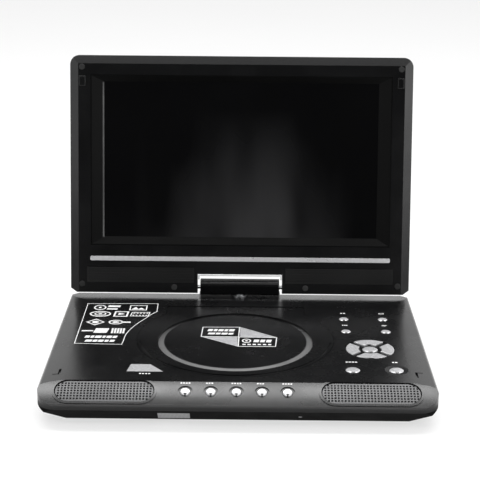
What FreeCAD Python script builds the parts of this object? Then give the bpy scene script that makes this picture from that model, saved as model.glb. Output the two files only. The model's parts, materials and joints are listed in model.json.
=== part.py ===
"""Portable disc player: a base with a disc drive and a display on a swivel-and-tilt hinge.

Millimetres.  X runs to the right, Y to the rear and Z up.  The origin is at the middle of the
bounding box, on the surface that the feet stand on.
"""
import FreeCAD, Part
import math
import os
import re

import Sketcher
from FreeCAD import Placement, Rotation, Vector

X_AXIS = Vector(1, 0, 0)
Y_AXIS = Vector(0, 1, 0)
Z_AXIS = Vector(0, 0, 1)
FAR = 400.0

DIMENSIONS = {
    # base housing; reaches are measured from the disc's centre
    "base_width": 268.5, "front_reach": 100, "rear_reach": 104, "base_height": 26,
    "foot_height": 2, "base_wall": 2, "parting_height": 13.3,
    "side_undercut": 19, "front_undercut": 12, "rear_undercut": 8,
    "slope_reach": 80.3, "slope_radius": 97.5, "slope_angle": 20,
    "rear_crown_reach": 76, "rear_crown_radius": 60, "rear_fall_angle": 7.5,
    "side_crown_start": 118, "side_crown_radius": 78,
    "front_corner": 14, "rear_chamfer_run": 7, "rear_chamfer_reach": 10, "rim_radius": 2.8,
    # disc bay and door
    "disc_x": -2.5, "disc_y": -18.6, "bay_radius": 62.5, "seat_radius": 63.5,
    "door_radius": 71.5, "door_gap": 0.35, "door_thickness": 2.15, "door_recess": 2.3,
    "seat_thickness": 1.5, "tab_left": 52.9, "tab_right": 52.0, "tab_reach": 66,
    "barrel_radius": 2.1, "barrel_reach": 63.8, "barrel_height": 23.7, "door_pin_radius": 1.2,
    "channel_forward": 5.5, "channel_inner": 51.3, "channel_outer": 56.2, "channel_depth": 1.35,
    "step_radius": 69.9, "step_width": 1.1, "step_depth": 0.7,
    "deck_floor": 18.2, "deck_thickness": 1.5, "hub_radius": 13.5, "spigot_radius": 7.4,
    # drive mechanism
    "chassis_height": 8, "chassis_thickness": 1.4, "rod_spread": 22, "rod_radius": 1.5,
    "rod_height": 13, "sled_reach": 25, "screw_spread": 29, "screw_radius": 1.4,
    # keys
    "key_board_height": 19.4, "board_thickness": 1.2, "key_gap": 0.35,
    "small_key_radius": 3.6, "lower_key_radius": 5, "ok_key_radius": 5.4,
    "ring_inner": 8.3, "ring_outer": 17.2, "ring_slit": 4.2, "key_rise": 0.3,
    "nav_x": 94, "nav_reach": 19.3, "dish_radius": 8.2, "dish_depth": 0.5,
    "front_key_radius": 3.4, "front_key_pitch": 17.1, "front_key_x": -1, "front_key_angle": 25.2,
    "well_width": 1.5, "well_depth": 0.8,
    # speakers
    "pod_x": 89.2, "pod_length": 67, "pod_width": 18.8, "pod_lip": 1.7, "pod_rise": 0.45,
    "grille_pitch": 2.2, "grille_hole": 1.35, "grille_gap": 0.7, "grille_sink": 0.4,
    "grille_thickness": 1.1,
    # hinge
    "hinge_reach": 93.8, "hinge_height": 32, "lean_angle": 11.6, "block_width": 62.4,
    "block_front": 6, "block_below": 5.5, "block_corner": 3.4, "shaft_radius": 4.5,
    "neck_radius": 6.4, "bush_radius": 7.4, "axle_radius": 1.5, "pedestal_height": 25.6,
    "rest_half_width": 32,
    # display; heights are measured up the lid from the tilt axis
    "lid_width": 267.8, "lid_top": 181.8, "lid_bottom": 4.6, "lid_front": 4.4, "lid_back": 7.6,
    "lid_parting": 0.6, "lid_wall": 1.8, "lid_rim": 6.4, "lid_rim_fall": 1.7,
    "notch_half_width": 33.4, "notch_top": 10.7, "surround_width": 235.6,
    "surround_low": 33.3, "surround_high": 166.8, "screen_width": 215,
    "screen_low": 39.9, "screen_high": 161.5, "screen_depth": 3,
    "strip_width": 236.8, "strip_low": 20.9, "strip_high": 24.4,
    "mesh_inner": 36, "mesh_outer": 121.2, "mesh_low": 3.4, "mesh_high": 15.7, "mesh_depth": 0.9,
}

# side sockets: place along the wall and bore radius, or place, width and height
PORT_HEIGHT = 17.9
JACKS = {"dc": (30.0, 2.85), "phones": (-32.0, 1.8), "av_out": (-14.0, 1.8)}
SWITCH_SLOT = (4.0, 14.0)
PORTS = {"usb": (-4.0, 12.5, 5.1), "card": (-36.0, 25.0, 3.0)}
# corners of the open key from the disc's centre, the six case screws and the four feet
OPEN_KEY = [(-76.4, -64.3), (-51.3, -64.3), (-60.9, -51.6), (-74.4, -51.6)]
SCREW_SPOTS = [(-107, -97), (107, -97), (-107, 66), (107, 66), (-40, 72), (40, 72)]
FOOT_SPOTS = [(-100, -82), (100, -82), (-100, 56), (100, 56)]
BOSS_RADIUS = 3.0
PILOT_RADIUS = 1.3

doc = FreeCAD.newDocument("PortableDiscPlayer")
sheet = doc.addObject("Spreadsheet::Sheet", "Sizes")
for row, (alias, value) in enumerate(DIMENSIONS.items(), start=1):
    sheet.set(f"A{row}", alias)
    sheet.set(f"B{row}", str(value))
    sheet.setAlias(f"B{row}", alias)
doc.recompute()

nodes = []


# ---- helpers --------------------------------------------------------------------------------

def linked(text):
    """Expression text with each alias written as a reference to its cell."""
    return re.sub(r"[a-z]+(?:_[a-z]+)+", lambda word: "Sizes." + word.group(), str(text))


def size(text):
    """Value of an alias, or of an expression of aliases."""
    return float(sheet.evalExpression(linked(text)))


def bind(thing, **texts):
    for name, text in texts.items():
        thing.setExpression(name, linked(text))


def place(thing, x, y, z):
    for axis, text in zip("xyz", (x, y, z)):
        thing.setExpression("Placement.Base." + axis, linked(text))


def box(name, corner, extent):
    thing = doc.addObject("Part::Box", name)
    place(thing, *corner)
    bind(thing, Length=extent[0], Width=extent[1], Height=extent[2])
    return thing


def cylinder(name, base, radius, height, along=Z_AXIS):
    thing = doc.addObject("Part::Cylinder", name)
    thing.Placement = Placement(Vector(), Rotation(Z_AXIS, along))
    place(thing, *base)
    bind(thing, Radius=radius, Height=height)
    return thing


def fuse(name, things):
    union = doc.addObject("Part::MultiFuse", name)
    union.Shapes = things
    return union


def cut(name, base, *tools):
    result = doc.addObject("Part::Cut", name)
    result.Base = base
    result.Tool = tools[0] if len(tools) == 1 else fuse(name + "_tools", list(tools))
    return result


def group(name, things):
    together = doc.addObject("Part::Compound", name)
    together.Links = things
    return together


def shaped(name, shape, placement=None):
    """Free-form sub-part, for a form that neither a body nor primitives give."""
    thing = doc.addObject("Part::Feature", name)
    thing.Shape = shape
    if placement:
        thing.Placement = placement
    return thing


def node(label, thing, placement=None):
    thing.Label = label
    if placement:
        thing.Placement = placement
    nodes.append(thing)
    return thing


def new_sketch(body, role, height="0"):
    plane = next(item for item in body.Origin.OriginFeatures if item.Role == role)
    sketch = body.newObject("Sketcher::SketchObject", body.Name + "_outline")
    sketch.AttachmentSupport = (plane, [""])
    sketch.MapMode = "FlatFace"
    sketch.setExpression("AttachmentOffset.Base.z", linked(height))
    return sketch


def draw_polygon(sketch, corners):
    """Closed outline whose corners are held to the sheet by distances from the origin."""
    first = sketch.GeometryCount
    places = [Vector(size(x), size(y), 0) for x, y in corners]
    for start, end in zip(places, places[1:] + places[:1]):
        sketch.addGeometry(Part.LineSegment(start, end), False)
    for index, (x, y) in enumerate(corners):
        following = first + (index + 1) % len(corners)
        sketch.addConstraint(Sketcher.Constraint("Coincident", first + index, 2, following, 1))
        for kind, text in (("DistanceX", x), ("DistanceY", y)):
            held = Sketcher.Constraint(kind, -1, 1, first + index, 1, size(text))
            number = sketch.addConstraint(held)
            sketch.setExpression(f"Constraints[{number}]", linked(text))


def turned(name, profile):
    """Body turned about Z from a profile of (radius, height) corners."""
    body = doc.addObject("PartDesign::Body", name)
    sketch = new_sketch(body, "XZ_Plane")
    draw_polygon(sketch, profile)
    turn = body.newObject("PartDesign::Revolution", name + "_turn")
    turn.Profile = sketch
    turn.ReferenceAxis = (sketch, ["V_Axis"])
    turn.Angle = 360
    return body


def plate(name, corners, bottom, thickness, role="XY_Plane"):
    """Body padded from an outline of (x, y) corners."""
    body = doc.addObject("PartDesign::Body", name)
    sketch = new_sketch(body, role, bottom)
    draw_polygon(sketch, corners)
    pad = body.newObject("PartDesign::Pad", name + "_pad")
    pad.Profile = sketch
    bind(pad, Length=thickness)
    return body


def rectangle(left, low, right, high):
    return [(left, low), (right, low), (right, high), (left, high)]


def arc(start, middle, end):
    return Part.Arc(start, middle, end).toShape()


def line(start, end):
    return Part.LineSegment(start, end).toShape()


def solid_box(low, high):
    extent = Vector(*high) - Vector(*low)
    return Part.makeBox(extent.x, extent.y, extent.z, Vector(*low))


def solid_rod(radius, start, end):
    run = Vector(*end) - Vector(*start)
    return Part.makeCylinder(radius, run.Length, Vector(*start), run)


def rounded(shape, radius, wanted):
    """Shape with the edges that `wanted` accepts filleted."""
    return shape.makeFillet(radius, [edge for edge in shape.Edges if wanted(edge)])


def upright(edge):
    ends = edge.Vertexes
    return len(ends) == 2 and (ends[0].Point - ends[1].Point).cross(Z_AXIS).Length < 1e-6


def stadium(length, width, height):
    """Prism with round ends, long in X, standing on XY and centred on Z."""
    straight = (length - width) / 2
    bar = Part.makeBox(2 * straight, width, height, Vector(-straight, -width / 2, -height / 2))
    for side in (-1, 1):
        end = Part.makeCylinder(width / 2, height, Vector(side * straight, 0, -height / 2))
        bar = bar.fuse(end)
    return bar.removeSplitter()


# ---- forms of the base ----------------------------------------------------------------------

def undercut(run, inset):
    """Where the slanted foot of a wall starts (z) and meets the floor (distance inwards)."""
    rise = size("parting_height") - size("foot_height")
    slant = math.hypot(run, rise)
    down = (inset * slant - inset * rise) / run
    wall_z = size("parting_height") + inset * run / slant - down * rise / slant
    along = (rise + inset * run / slant - inset) * slant / rise
    return wall_z, (inset * rise + along * run) / slant


def rim_turn(middle, radius, first, last):
    """Three points of a rounding about `middle` between two directions given in degrees."""
    return [middle + Vector(0, radius * math.cos(math.radians(angle)),
                            radius * math.sin(math.radians(angle)))
            for angle in (first, (first + last) / 2, last)]


def side_outline(inset):
    """The base seen from its side: undercut front, slope, flat top and falling rear."""
    disc_y, height, rim = size("disc_y"), size("base_height"), size("rim_radius")
    front_wall, rear_wall = disc_y - size("front_reach"), disc_y + size("rear_reach")
    floor, top = size("foot_height") + inset, height - inset
    front_z, front_run = undercut(size("front_undercut"), inset)
    rear_z, rear_run = undercut(size("rear_undercut"), inset)

    slope = size("slope_radius")
    tilt = math.radians(size("slope_angle"))
    middle = Vector(0, disc_y - size("slope_reach") + slope * math.sin(tilt), height - slope * math.cos(tilt))
    rise = math.sqrt((slope - rim) ** 2 - (middle.y - front_wall - rim) ** 2)
    nose = Vector(0, front_wall + rim, middle.z + rise)
    nose_angle = math.degrees(math.atan2(nose.z - middle.z, nose.y - middle.y))
    nose_turn = rim_turn(nose, rim - inset, 180, nose_angle)
    slope_top = middle.y - math.sqrt((slope - inset) ** 2 - (top - middle.z) ** 2)

    def on_slope(y):
        return Vector(0, y, middle.z + math.sqrt((slope - inset) ** 2 - (y - middle.y) ** 2))

    crown = size("rear_crown_radius")
    fall = size("rear_fall_angle")
    crown_middle = Vector(0, disc_y + size("rear_crown_reach"), height - crown)
    crown_turn = rim_turn(crown_middle, crown - inset, 90, 90 - fall)
    outer_end = rim_turn(crown_middle, crown, 90, 90 - fall)[2]
    tail_y = rear_wall - rim
    tail_top = outer_end.z - (tail_y - outer_end.y) * math.tan(math.radians(fall))
    tail = Vector(0, tail_y, tail_top - rim / math.cos(math.radians(fall)))
    tail_turn = rim_turn(tail, rim - inset, 90 - fall, 0)

    corners = [
        tail_turn[2], Vector(0, rear_wall - inset, rear_z), Vector(0, rear_wall - rear_run, floor),
        Vector(0, front_wall + front_run, floor), Vector(0, front_wall + inset, front_z), nose_turn[0],
    ]
    edges = [arc(*crown_turn), line(crown_turn[2], tail_turn[0]), arc(*tail_turn)]
    edges += [line(start, end) for start, end in zip(corners[:-1], corners[1:])]
    edges += [arc(*nose_turn), arc(nose_turn[2], on_slope((nose_turn[2].y + slope_top) / 2), on_slope(slope_top))]
    edges.append(line(on_slope(slope_top), crown_turn[0]))
    return Part.Wire(edges)


def front_outline(inset):
    """The base seen from the front: undercut sides and a top that falls towards them."""
    half, rim = size("base_width") / 2, size("rim_radius")
    wall_z, foot_run = undercut(size("side_undercut"), inset)
    floor, top = size("foot_height") + inset, size("base_height") - inset
    crown, start = size("side_crown_radius"), size("side_crown_start")
    middle = Vector(0, start, size("base_height") - crown)
    corner = Vector(0, half - rim, middle.z + math.sqrt((crown - rim) ** 2 - (half - rim - start) ** 2))
    angle = math.degrees(math.atan2(corner.z - middle.z, corner.y - middle.y))
    crown_turn = rim_turn(middle, crown - inset, 90, angle)
    corner_turn = rim_turn(corner, rim - inset, angle, 0)
    right = [Vector(point.y, 0, point.z) for point in crown_turn + corner_turn]
    left = [Vector(-point.x, 0, point.z) for point in right]
    feet = [Vector(half - inset, 0, wall_z), Vector(half - foot_run, 0, floor)]
    feet += [Vector(-point.x, 0, point.z) for point in reversed(feet)]
    corners = [right[5]] + feet + [left[5]]
    edges = [arc(*right[:3]), arc(*right[3:])]
    edges += [line(start_point, end_point) for start_point, end_point in zip(corners[:-1], corners[1:])]
    edges += [arc(*left[:2:-1]), arc(*left[2::-1]), line(left[0], right[0])]
    return Part.Wire(edges)


def plan_block(inset):
    """Prism of the base's plan: round front corners and clipped rear corners."""
    half = size("base_width") / 2 - inset
    front = size("disc_y") - size("front_reach") + inset
    rear = size("disc_y") + size("rear_reach") - inset
    run, reach = size("rear_chamfer_run"), size("rear_chamfer_reach")
    corners = [
        (-half, front), (half, front), (half, rear - reach), (half - run, rear),
        (run - half, rear), (-half, rear - reach),
    ]
    points = [Vector(x, y, 0) for x, y in corners]
    block = Part.Face(Part.makePolygon(points + points[:1])).extrude(Vector(0, 0, 60))
    front_radius = size("front_corner") - inset
    block = rounded(block, front_radius, lambda e: upright(e) and e.Vertexes[0].Y < front + 1)
    return rounded(block, 3, lambda e: upright(e) and e.Vertexes[0].Y > rear - reach - 1)


def base_block(inset=0.0):
    side = Part.Face(side_outline(inset)).extrude(Vector(FAR, 0, 0))
    side.translate(Vector(-FAR / 2, 0, 0))
    front = Part.Face(front_outline(inset)).extrude(Vector(0, FAR, 0))
    front.translate(Vector(0, -FAR / 2, 0))
    return side.common(front).common(plan_block(inset))


def slope_frame(angle, x=0.0):
    """Frame on the front slope, its Z along the slope's outward normal at `angle`."""
    radius, start = size("slope_radius"), math.radians(size("slope_angle"))
    middle_y = size("disc_y") - size("slope_reach") + radius * math.sin(start)
    middle_z = size("base_height") - radius * math.cos(start)
    turn = math.radians(angle)
    spot = Vector(x, middle_y - radius * math.sin(turn), middle_z + radius * math.cos(turn))
    return Placement(spot, Rotation(X_AXIS, angle))


def pod_prism(side, grow):
    """Stadium prism through one speaker's place, grown outwards by `grow`."""
    prism = stadium(size("pod_length") + 2 * grow, size("pod_width") + 2 * grow, 20)
    prism.Placement = pod_frame(side)
    return prism.common(solid_box((-FAR, -FAR, size("parting_height") + 1), (FAR, FAR, 60)))


def pod_frame(side):
    return slope_frame(size("front_key_angle"), side * size("pod_x"))


# ---- keys and openings shared by several sub-parts --------------------------------------------

def key_places():
    """Name of each small round key with its x and its distance from the disc's centre line."""
    return {
        "upper_left_key": (79.2, 41), "upper_right_key": (108.7, 41),
        "middle_left_key": (79.2, 15.7), "middle_right_key": (108.7, 15.7),
    }


def lower_key_places():
    return {"lower_left_key": (78.9, -57), "lower_right_key": (109, -57)}


def nav_centre():
    return Vector(size("nav_x"), size("disc_y") - size("nav_reach"), 0)


def quadrant(angle, inner, outer, slit, low, high):
    """Quarter of a ring about Z, with half a slit taken off each end."""
    ring = Part.makeCylinder(outer, high - low, Vector(0, 0, low))
    ring = ring.cut(Part.makeCylinder(inner, high - low, Vector(0, 0, low)))
    reach = 2 * outer
    shift = slit / math.sqrt(2)
    wedge = [Vector(shift, 0, low), Vector(shift + reach, reach, low), Vector(shift + reach, -reach, low)]
    prism = Part.Face(Part.makePolygon(wedge + wedge[:1])).extrude(Vector(0, 0, high - low))
    piece = ring.common(prism)
    piece.rotate(Vector(), Z_AXIS, angle)
    return piece


def wedge_prism(grow, low, high):
    """The open key's slanted outline as a prism, grown outwards by `grow`."""
    points = [Vector(x, size("disc_y") + y, low) for x, y in OPEN_KEY]
    wire = Part.makePolygon(points + points[:1])
    if grow:
        wire = wire.makeOffset2D(grow, 2)
    return Part.Face(wire).extrude(Vector(0, 0, high - low))


def open_key_angle():
    """Direction in which the latch leaves the disc's centre."""
    return math.radians(223.5)


# ---- base shells ------------------------------------------------------------------------------

def door_outline(gap, low, high):
    """The door's round panel with its rear tab, or its recess with a gap all round."""
    disc = Vector(size("disc_x"), size("disc_y"), low)
    panel = Part.makeCylinder(size("door_radius") + gap, high - low, disc)
    left = size("disc_x - tab_left") - gap
    right = size("disc_x + tab_right") + gap
    rear = size("disc_y + tab_reach") + gap
    outline = panel.fuse(solid_box((left, disc.y, low), (right, rear, high)))
    return outline.common(solid_box((-FAR, -FAR, 0), (FAR, rear, 60)))


def barrel_box(gap, low, high):
    """Room that the door's hinge barrel turns in."""
    middle = size("disc_y + barrel_reach")
    reach = size("barrel_radius") + gap
    left, right = size("disc_x - tab_left") - gap, size("disc_x + tab_right") + gap
    return solid_box((left, middle - reach, low), (right, middle + reach, high))


def hinge_ears():
    """Two lugs under the top that carry the door's pins."""
    middle, height = size("disc_y + barrel_reach"), size("barrel_height")
    gap = size("door_gap")
    ears = []
    for inner, outer in (("disc_x - tab_left", -3.5), ("disc_x + tab_right", 3.5)):
        near = size(inner) + math.copysign(gap, outer)
        low_x, high_x = sorted((near, near + outer))
        ear = solid_box((low_x, middle - 3, height - 3.2), (high_x, middle + 3, height + 0.6))
        ears.append(ear)
    return ears


def port_cuts():
    """Openings through the two side walls, as solids that reach through the wall."""
    half = size("base_width") / 2
    cuts = []
    for y, radius in JACKS.values():
        cuts.append(solid_rod(radius + 0.5, (-half - 1, y, PORT_HEIGHT), (-half + 3, y, PORT_HEIGHT)))
    low, high = SWITCH_SLOT
    cuts.append(solid_box((-half - 1, low, PORT_HEIGHT - 1.8), (-half + 3, high, PORT_HEIGHT + 1.8)))
    for y, width, height in PORTS.values():
        low = (half - 3, y - width / 2 - 0.4, PORT_HEIGHT - height / 2 - 0.4)
        high = (half + 1, y + width / 2 + 0.4, PORT_HEIGHT + height / 2 + 0.4)
        cuts.append(solid_box(low, high))
    return cuts


def key_cuts():
    """Holes and dishes for every key on the top and on the slope."""
    top, gap = size("base_height"), size("key_gap")
    disc_y = size("disc_y")
    cuts = []

    def hole(x, y, radius):
        cuts.append(Part.makeCylinder(radius, 8, Vector(x, y, top - 7)))

    def dish(x, y, radius, depth):
        ball = (radius ** 2 + depth ** 2) / (2 * depth)
        cuts.append(Part.makeSphere(ball, Vector(x, y, top - depth + ball)))

    for x, reach in key_places().values():
        hole(x, disc_y + reach, size("small_key_radius") + gap)
        dish(x, disc_y + reach, size("small_key_radius") + 1.4, 0.35)
    for x, reach in lower_key_places().values():
        hole(x, disc_y + reach, size("lower_key_radius") + gap)
        dish(x, disc_y + reach, size("dish_radius"), size("dish_depth"))
    centre = nav_centre()
    well = Part.makeCylinder(size("ring_outer") + gap, 2, Vector(centre.x, centre.y, top - 0.6))
    cuts.append(well)
    hole(centre.x, centre.y, size("ok_key_radius") + gap)
    for angle in (0, 90, 180, 270):
        slit = size("ring_slit") - 2 * gap
        inner, outer = size("ring_inner") - gap, size("ring_outer") + gap
        opening = quadrant(angle, inner, outer, slit, top - 7, top + 1)
        opening.translate(centre)
        cuts.append(opening)
    cuts.append(wedge_prism(gap, top - 7, top + 1))
    cuts.append(wedge_prism(1.5, top - 0.4, top + 1))
    for x in front_key_spots():
        rod = Part.makeCylinder(size("front_key_radius") + gap, 12, Vector(0, 0, -6))
        rod.Placement = slope_frame(size("front_key_angle"), x)
        cuts.append(rod)
        well = Part.makeCylinder(size("front_key_radius + well_width"), 3, Vector(0, 0, -size("well_depth")))
        well.Placement = slope_frame(size("front_key_angle"), x)
        cuts.append(well)
    return cuts


def front_key_spots():
    return [size("front_key_x") + size("front_key_pitch") * step for step in (-2, -1, 0, 1, 2)]


def make_top_shell():
    top, wall = size("base_height"), size("base_wall")
    parting = size("parting_height")
    above = solid_box((-FAR, -FAR, parting), (FAR, FAR, 60))
    shell = base_block().common(above).cut(base_block(wall))
    disc = Vector(size("disc_x"), size("disc_y"), 0)

    seat_low = top - size("door_recess") - size("seat_thickness")
    seat = door_outline(2, seat_low, top - size("door_recess") + 0.5)
    shell = shell.fuse(seat).fuse(hinge_ears())
    pods = [base_block(-size("pod_rise")).common(pod_prism(side, size("pod_lip"))) for side in (-1, 1)]
    pods = [pod.cut(base_block(wall)) for pod in pods]
    shell = shell.fuse(pods)

    hinge_y = size("disc_y + hinge_reach")
    pedestal = Part.makeCylinder(8.5, 6, Vector(0, hinge_y, size("pedestal_height") - 6))
    tongue = solid_box((-8.5, hinge_y - 18, size("pedestal_height") - 3),
                       (8.5, hinge_y, size("pedestal_height")))
    rest = size("rest_half_width")
    hinge_rest = solid_box((-rest, hinge_y - 15, size("pedestal_height") - 4.5),
                           (rest, size("disc_y + rear_reach") - 1.5, size("pedestal_height")))
    shell = shell.fuse([pedestal, tongue, hinge_rest])
    for x, y in SCREW_SPOTS:
        boss = Part.makeCylinder(BOSS_RADIUS, 11.2, Vector(x, y, parting))
        shell = shell.fuse(boss.common(base_block(wall / 2)))

    cuts = [
        door_outline(size("door_gap"), top - size("door_recess"), top + 5),
        Part.makeCylinder(size("seat_radius"), 20, disc + Vector(0, 0, parting)),
        barrel_box(size("door_gap"), seat_low - 1, top + 1),
        solid_rod(size("door_pin_radius") + 0.05,
                  (disc.x - size("tab_left") - 3, size("disc_y + barrel_reach"), size("barrel_height")),
                  (disc.x + size("tab_right") + 3, size("disc_y + barrel_reach"), size("barrel_height"))),
        Part.makeCylinder(size("shaft_radius") + 0.1, 20, Vector(0, hinge_y, 10)),
        latch_window(disc, seat_low - 1, top - size("door_recess") + 0.1),
    ]
    cuts += [pod_prism(side, 0) for side in (-1, 1)]
    for side in (-1, 1):
        cuts += catch_slot(side * 122, size("disc_y") - 65.2, side)
    cuts += [Part.makeCylinder(PILOT_RADIUS, 8, Vector(x, y, parting - 1)) for x, y in SCREW_SPOTS]
    shell = shell.cut(cuts + key_cuts() + port_cuts())
    return node("base_top_shell", shaped("base_top_shell", shell))


def catch_slot(x, y, side):
    """L-shaped slot near a front corner for one of the lid's catches."""
    low, high = size("base_height") - 1.4, size("base_height") + 1
    near, far = sorted((x, x + side * 4.5))
    return [solid_box((x - 0.8, y - 4.6, low), (x + 0.8, y + 4.6, high)),
            solid_box((near, y + side * 4 - 0.5, low), (far, y + side * 4 + 0.5, high))]


def latch_window(disc, low, high):
    """Slot in the door's seat through which the catch hangs and the latch reaches it."""
    slot = Part.makeBox(13, 7, high - low, Vector(63, -3.5, low))
    slot.rotate(Vector(), Z_AXIS, math.degrees(open_key_angle()))
    slot.translate(Vector(disc.x, disc.y, 0))
    return slot


def make_bottom_case():
    foot, wall, parting = size("foot_height"), size("base_wall"), size("parting_height")
    below = solid_box((-FAR, -FAR, -1), (FAR, FAR, parting - 0.15))
    case = base_block().common(below).cut(base_block(wall))
    floor = foot + wall
    disc = Vector(size("disc_x"), size("disc_y"), 0)
    height = parting - 0.15 - floor
    posts = [Part.makeCylinder(BOSS_RADIUS, height, Vector(x, y, floor)) for x, y in SCREW_SPOTS]
    height = size("chassis_height") - floor
    posts += [Part.makeCylinder(BOSS_RADIUS, height, disc + Vector(x, y, floor))
              for x in (-30, 30) for y in (-70, 16)]
    case = case.fuse(posts)
    cuts = []
    for x, y in SCREW_SPOTS:
        cuts.append(Part.makeCylinder(PILOT_RADIUS, parting, Vector(x, y, foot - 1)))
        cuts.append(Part.makeCylinder(2.6, 1.7, Vector(x, y, foot - 0.2)))
    for row in range(7):
        y = disc.y - 45 + 6 * row
        cuts.append(solid_box((-20, y, foot - 1), (22, y + 2.2, floor + 1)))
    cuts.append(ir_window_block(0.15))
    case = case.cut(cuts)
    return node("base_bottom_case", shaped("base_bottom_case", case))


def ir_window_block(grow):
    """Window for the remote control's sensor, set in the slanted front of the bottom case."""
    low = (-53.4 - grow, -FAR, 3.2 - grow)
    high = (-32 + grow, 0, 10.2 + grow)
    skin = base_block(0.1).cut(base_block(1.2)) if not grow else base_block(-1).cut(base_block(1.35))
    return solid_box(low, high).common(skin)


def make_feet():
    feet = []
    for index, (x, y) in enumerate(FOOT_SPOTS):
        feet.append(cylinder(f"foot_{index}", (x, y, "0"), "6", "foot_height"))
    return node("rubber_feet", group("rubber_feet", feet))


def make_case_screws():
    """Six screws that pull the bottom case onto the top shell."""
    screws = []
    for index, (x, y) in enumerate(SCREW_SPOTS):
        head = cylinder(f"head_{index}", (x, y, "foot_height + 0.1"), "2.4", "1.4")
        thread = cylinder(f"thread_{index}", (x, y, "foot_height + 1.4"), "1.25", "16.4")
        screws.append(fuse(f"screw_{index}", [head, thread]))
    return node("case_screws", group("case_screws", screws))


# ---- disc drive -------------------------------------------------------------------------------

def make_deck():
    low = "deck_floor - deck_thickness"
    rim = "base_height - door_recess - seat_thickness - deck_floor + deck_thickness - 1.1"
    bowl = cylinder("deck_block", ("disc_x", "disc_y", low), "bay_radius + 1.6", rim)
    bay = cylinder("deck_bay", ("disc_x", "disc_y", "deck_floor"), "bay_radius", "10")
    bore = cylinder("deck_bore", ("disc_x", "disc_y", "10"), "hub_radius + 0.8", "20")
    slot = box("deck_slot", ("disc_x - 14", "disc_y - 61", "10"), ("28", "50", "20"))
    return node("disc_deck", cut("disc_deck", bowl, bay, bore, slot))


def make_chassis():
    """Plate with four posts that hold the guide rods."""
    base = box("chassis_plate", ("disc_x - 34", "disc_y - 76", "chassis_height"),
               ("68", "96", "chassis_thickness"))
    posts = []
    for index, (side, y) in enumerate(((-1, -75), (-1, -12), (1, -75), (1, -12))):
        x = f"disc_x + {side} * rod_spread - 3"
        corner = (x, f"disc_y + {y}", "chassis_height")
        posts.append(box(f"rod_post_{index}", corner, ("6", "3.5", "rod_height + 2.4 - chassis_height")))
    body = fuse("chassis_body", [base] + posts)
    bores = [cylinder(f"rod_bore_{side}", (f"disc_x + {side} * rod_spread", "disc_y - 74", "rod_height"),
                      "rod_radius", "64.5", Y_AXIS) for side in (-1, 1)]
    window = box("chassis_window", ("disc_x - 16", "disc_y - 70", "0"), ("32", "52", "20"))
    return node("traverse_chassis", cut("traverse_chassis", body, window, *bores))


def make_guide_rods():
    rods = [cylinder(f"rod_{side}", (f"disc_x + {side} * rod_spread", "disc_y - 74", "rod_height"),
                     "rod_radius", "64.5", Y_AXIS) for side in (-1, 1)]
    return node("guide_rods", group("guide_rods", rods))


def make_spindle_motor():
    low = "chassis_height + chassis_thickness"
    profile = [("1.05", low), ("12.5", low), ("12.5", "15.4"), ("9", "16.2"), ("1.05", "16.2")]
    motor = node("spindle_motor", turned("spindle_motor", profile))
    place(motor, "disc_x", "disc_y", "0")


def make_turntable():
    top = "deck_floor + 2"
    profile = [
        ("0", "11"), ("1", "11"), ("1", "16.6"), ("5", "16.6"), ("5", f"{top} - 1.3"),
        ("hub_radius", f"{top} - 1.3"), ("hub_radius", top), ("spigot_radius", top),
        ("spigot_radius", f"{top} + 1.2"), ("spigot_radius - 1.4", f"{top} + 2.5"), ("0", f"{top} + 2.5"),
    ]
    hub = node("turntable_hub", turned("turntable_hub", profile))
    place(hub, "disc_x", "disc_y", "0")


def make_sled():
    y = "disc_y - sled_reach"
    body = box("sled_block", ("disc_x - 17", f"{y} - 10.5", "11.4"), ("34", "21", "4.6"))
    arms = []
    for index, (side, y_low, length) in enumerate(((-1, "-10.5", "21"), (1, "-10.5", "6"), (1, "4.5", "6"))):
        corner = (f"disc_x + {side} * rod_spread - 2.6", f"{y} + {y_low}", "rod_height - 1.6")
        arms.append(box(f"sled_ear_{index}", corner, ("5.2", length, "4.6")))
        inner = f"disc_x - rod_spread + 2" if side < 0 else "disc_x + 16"
        arms.append(box(f"sled_arm_{index}", (inner, f"{y} + {y_low}", "rod_height - 1.6"),
                        ("4.5", length, "4.2")))
    tooth = box("sled_tooth", ("disc_x + rod_spread + 2", f"{y} + 5.5", "rod_height - 0.8"),
                ("screw_spread - rod_spread - screw_radius - 2.3", "3", "1.6"))
    body = fuse("sled_body", [body, tooth] + arms)
    bores = [cylinder(f"sled_bore_{side}", (f"disc_x + {side} * rod_spread", f"{y} - 20", "rod_height"),
                      "rod_radius + 0.06", "40", Y_AXIS) for side in (-1, 1)]
    lens_bore = cylinder("lens_bore", ("disc_x", y, "14"), "3.6", "5")
    return node("laser_sled", cut("laser_sled", body, lens_bore, *bores))


def make_lens():
    profile = [("0", "14"), ("3.6", "14"), ("3.6", "16.8"), ("2.6", "18"), ("0", "18.3")]
    lens = node("laser_lens", turned("laser_lens", profile))
    place(lens, "disc_x", "disc_y - sled_reach", "0")


def make_sled_drive():
    motor = cylinder("motor_can", ("disc_x + screw_spread", "disc_y - 13", "rod_height"), "3.4", "13", Y_AXIS)
    bore = cylinder("motor_bore", ("disc_x + screw_spread", "disc_y - 14", "rod_height"), "0.85", "6", Y_AXIS)
    node("sled_motor", cut("sled_motor", motor, bore))
    screw = cylinder("screw_thread", ("disc_x + screw_spread", "disc_y - 70", "rod_height"),
                     "screw_radius", "56", Y_AXIS)
    tail = cylinder("screw_tail", ("disc_x + screw_spread", "disc_y - 14.5", "rod_height"), "0.8", "5", Y_AXIS)
    node("lead_screw", fuse("lead_screw", [screw, tail]))


# ---- door and its latch -----------------------------------------------------------------------

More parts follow.
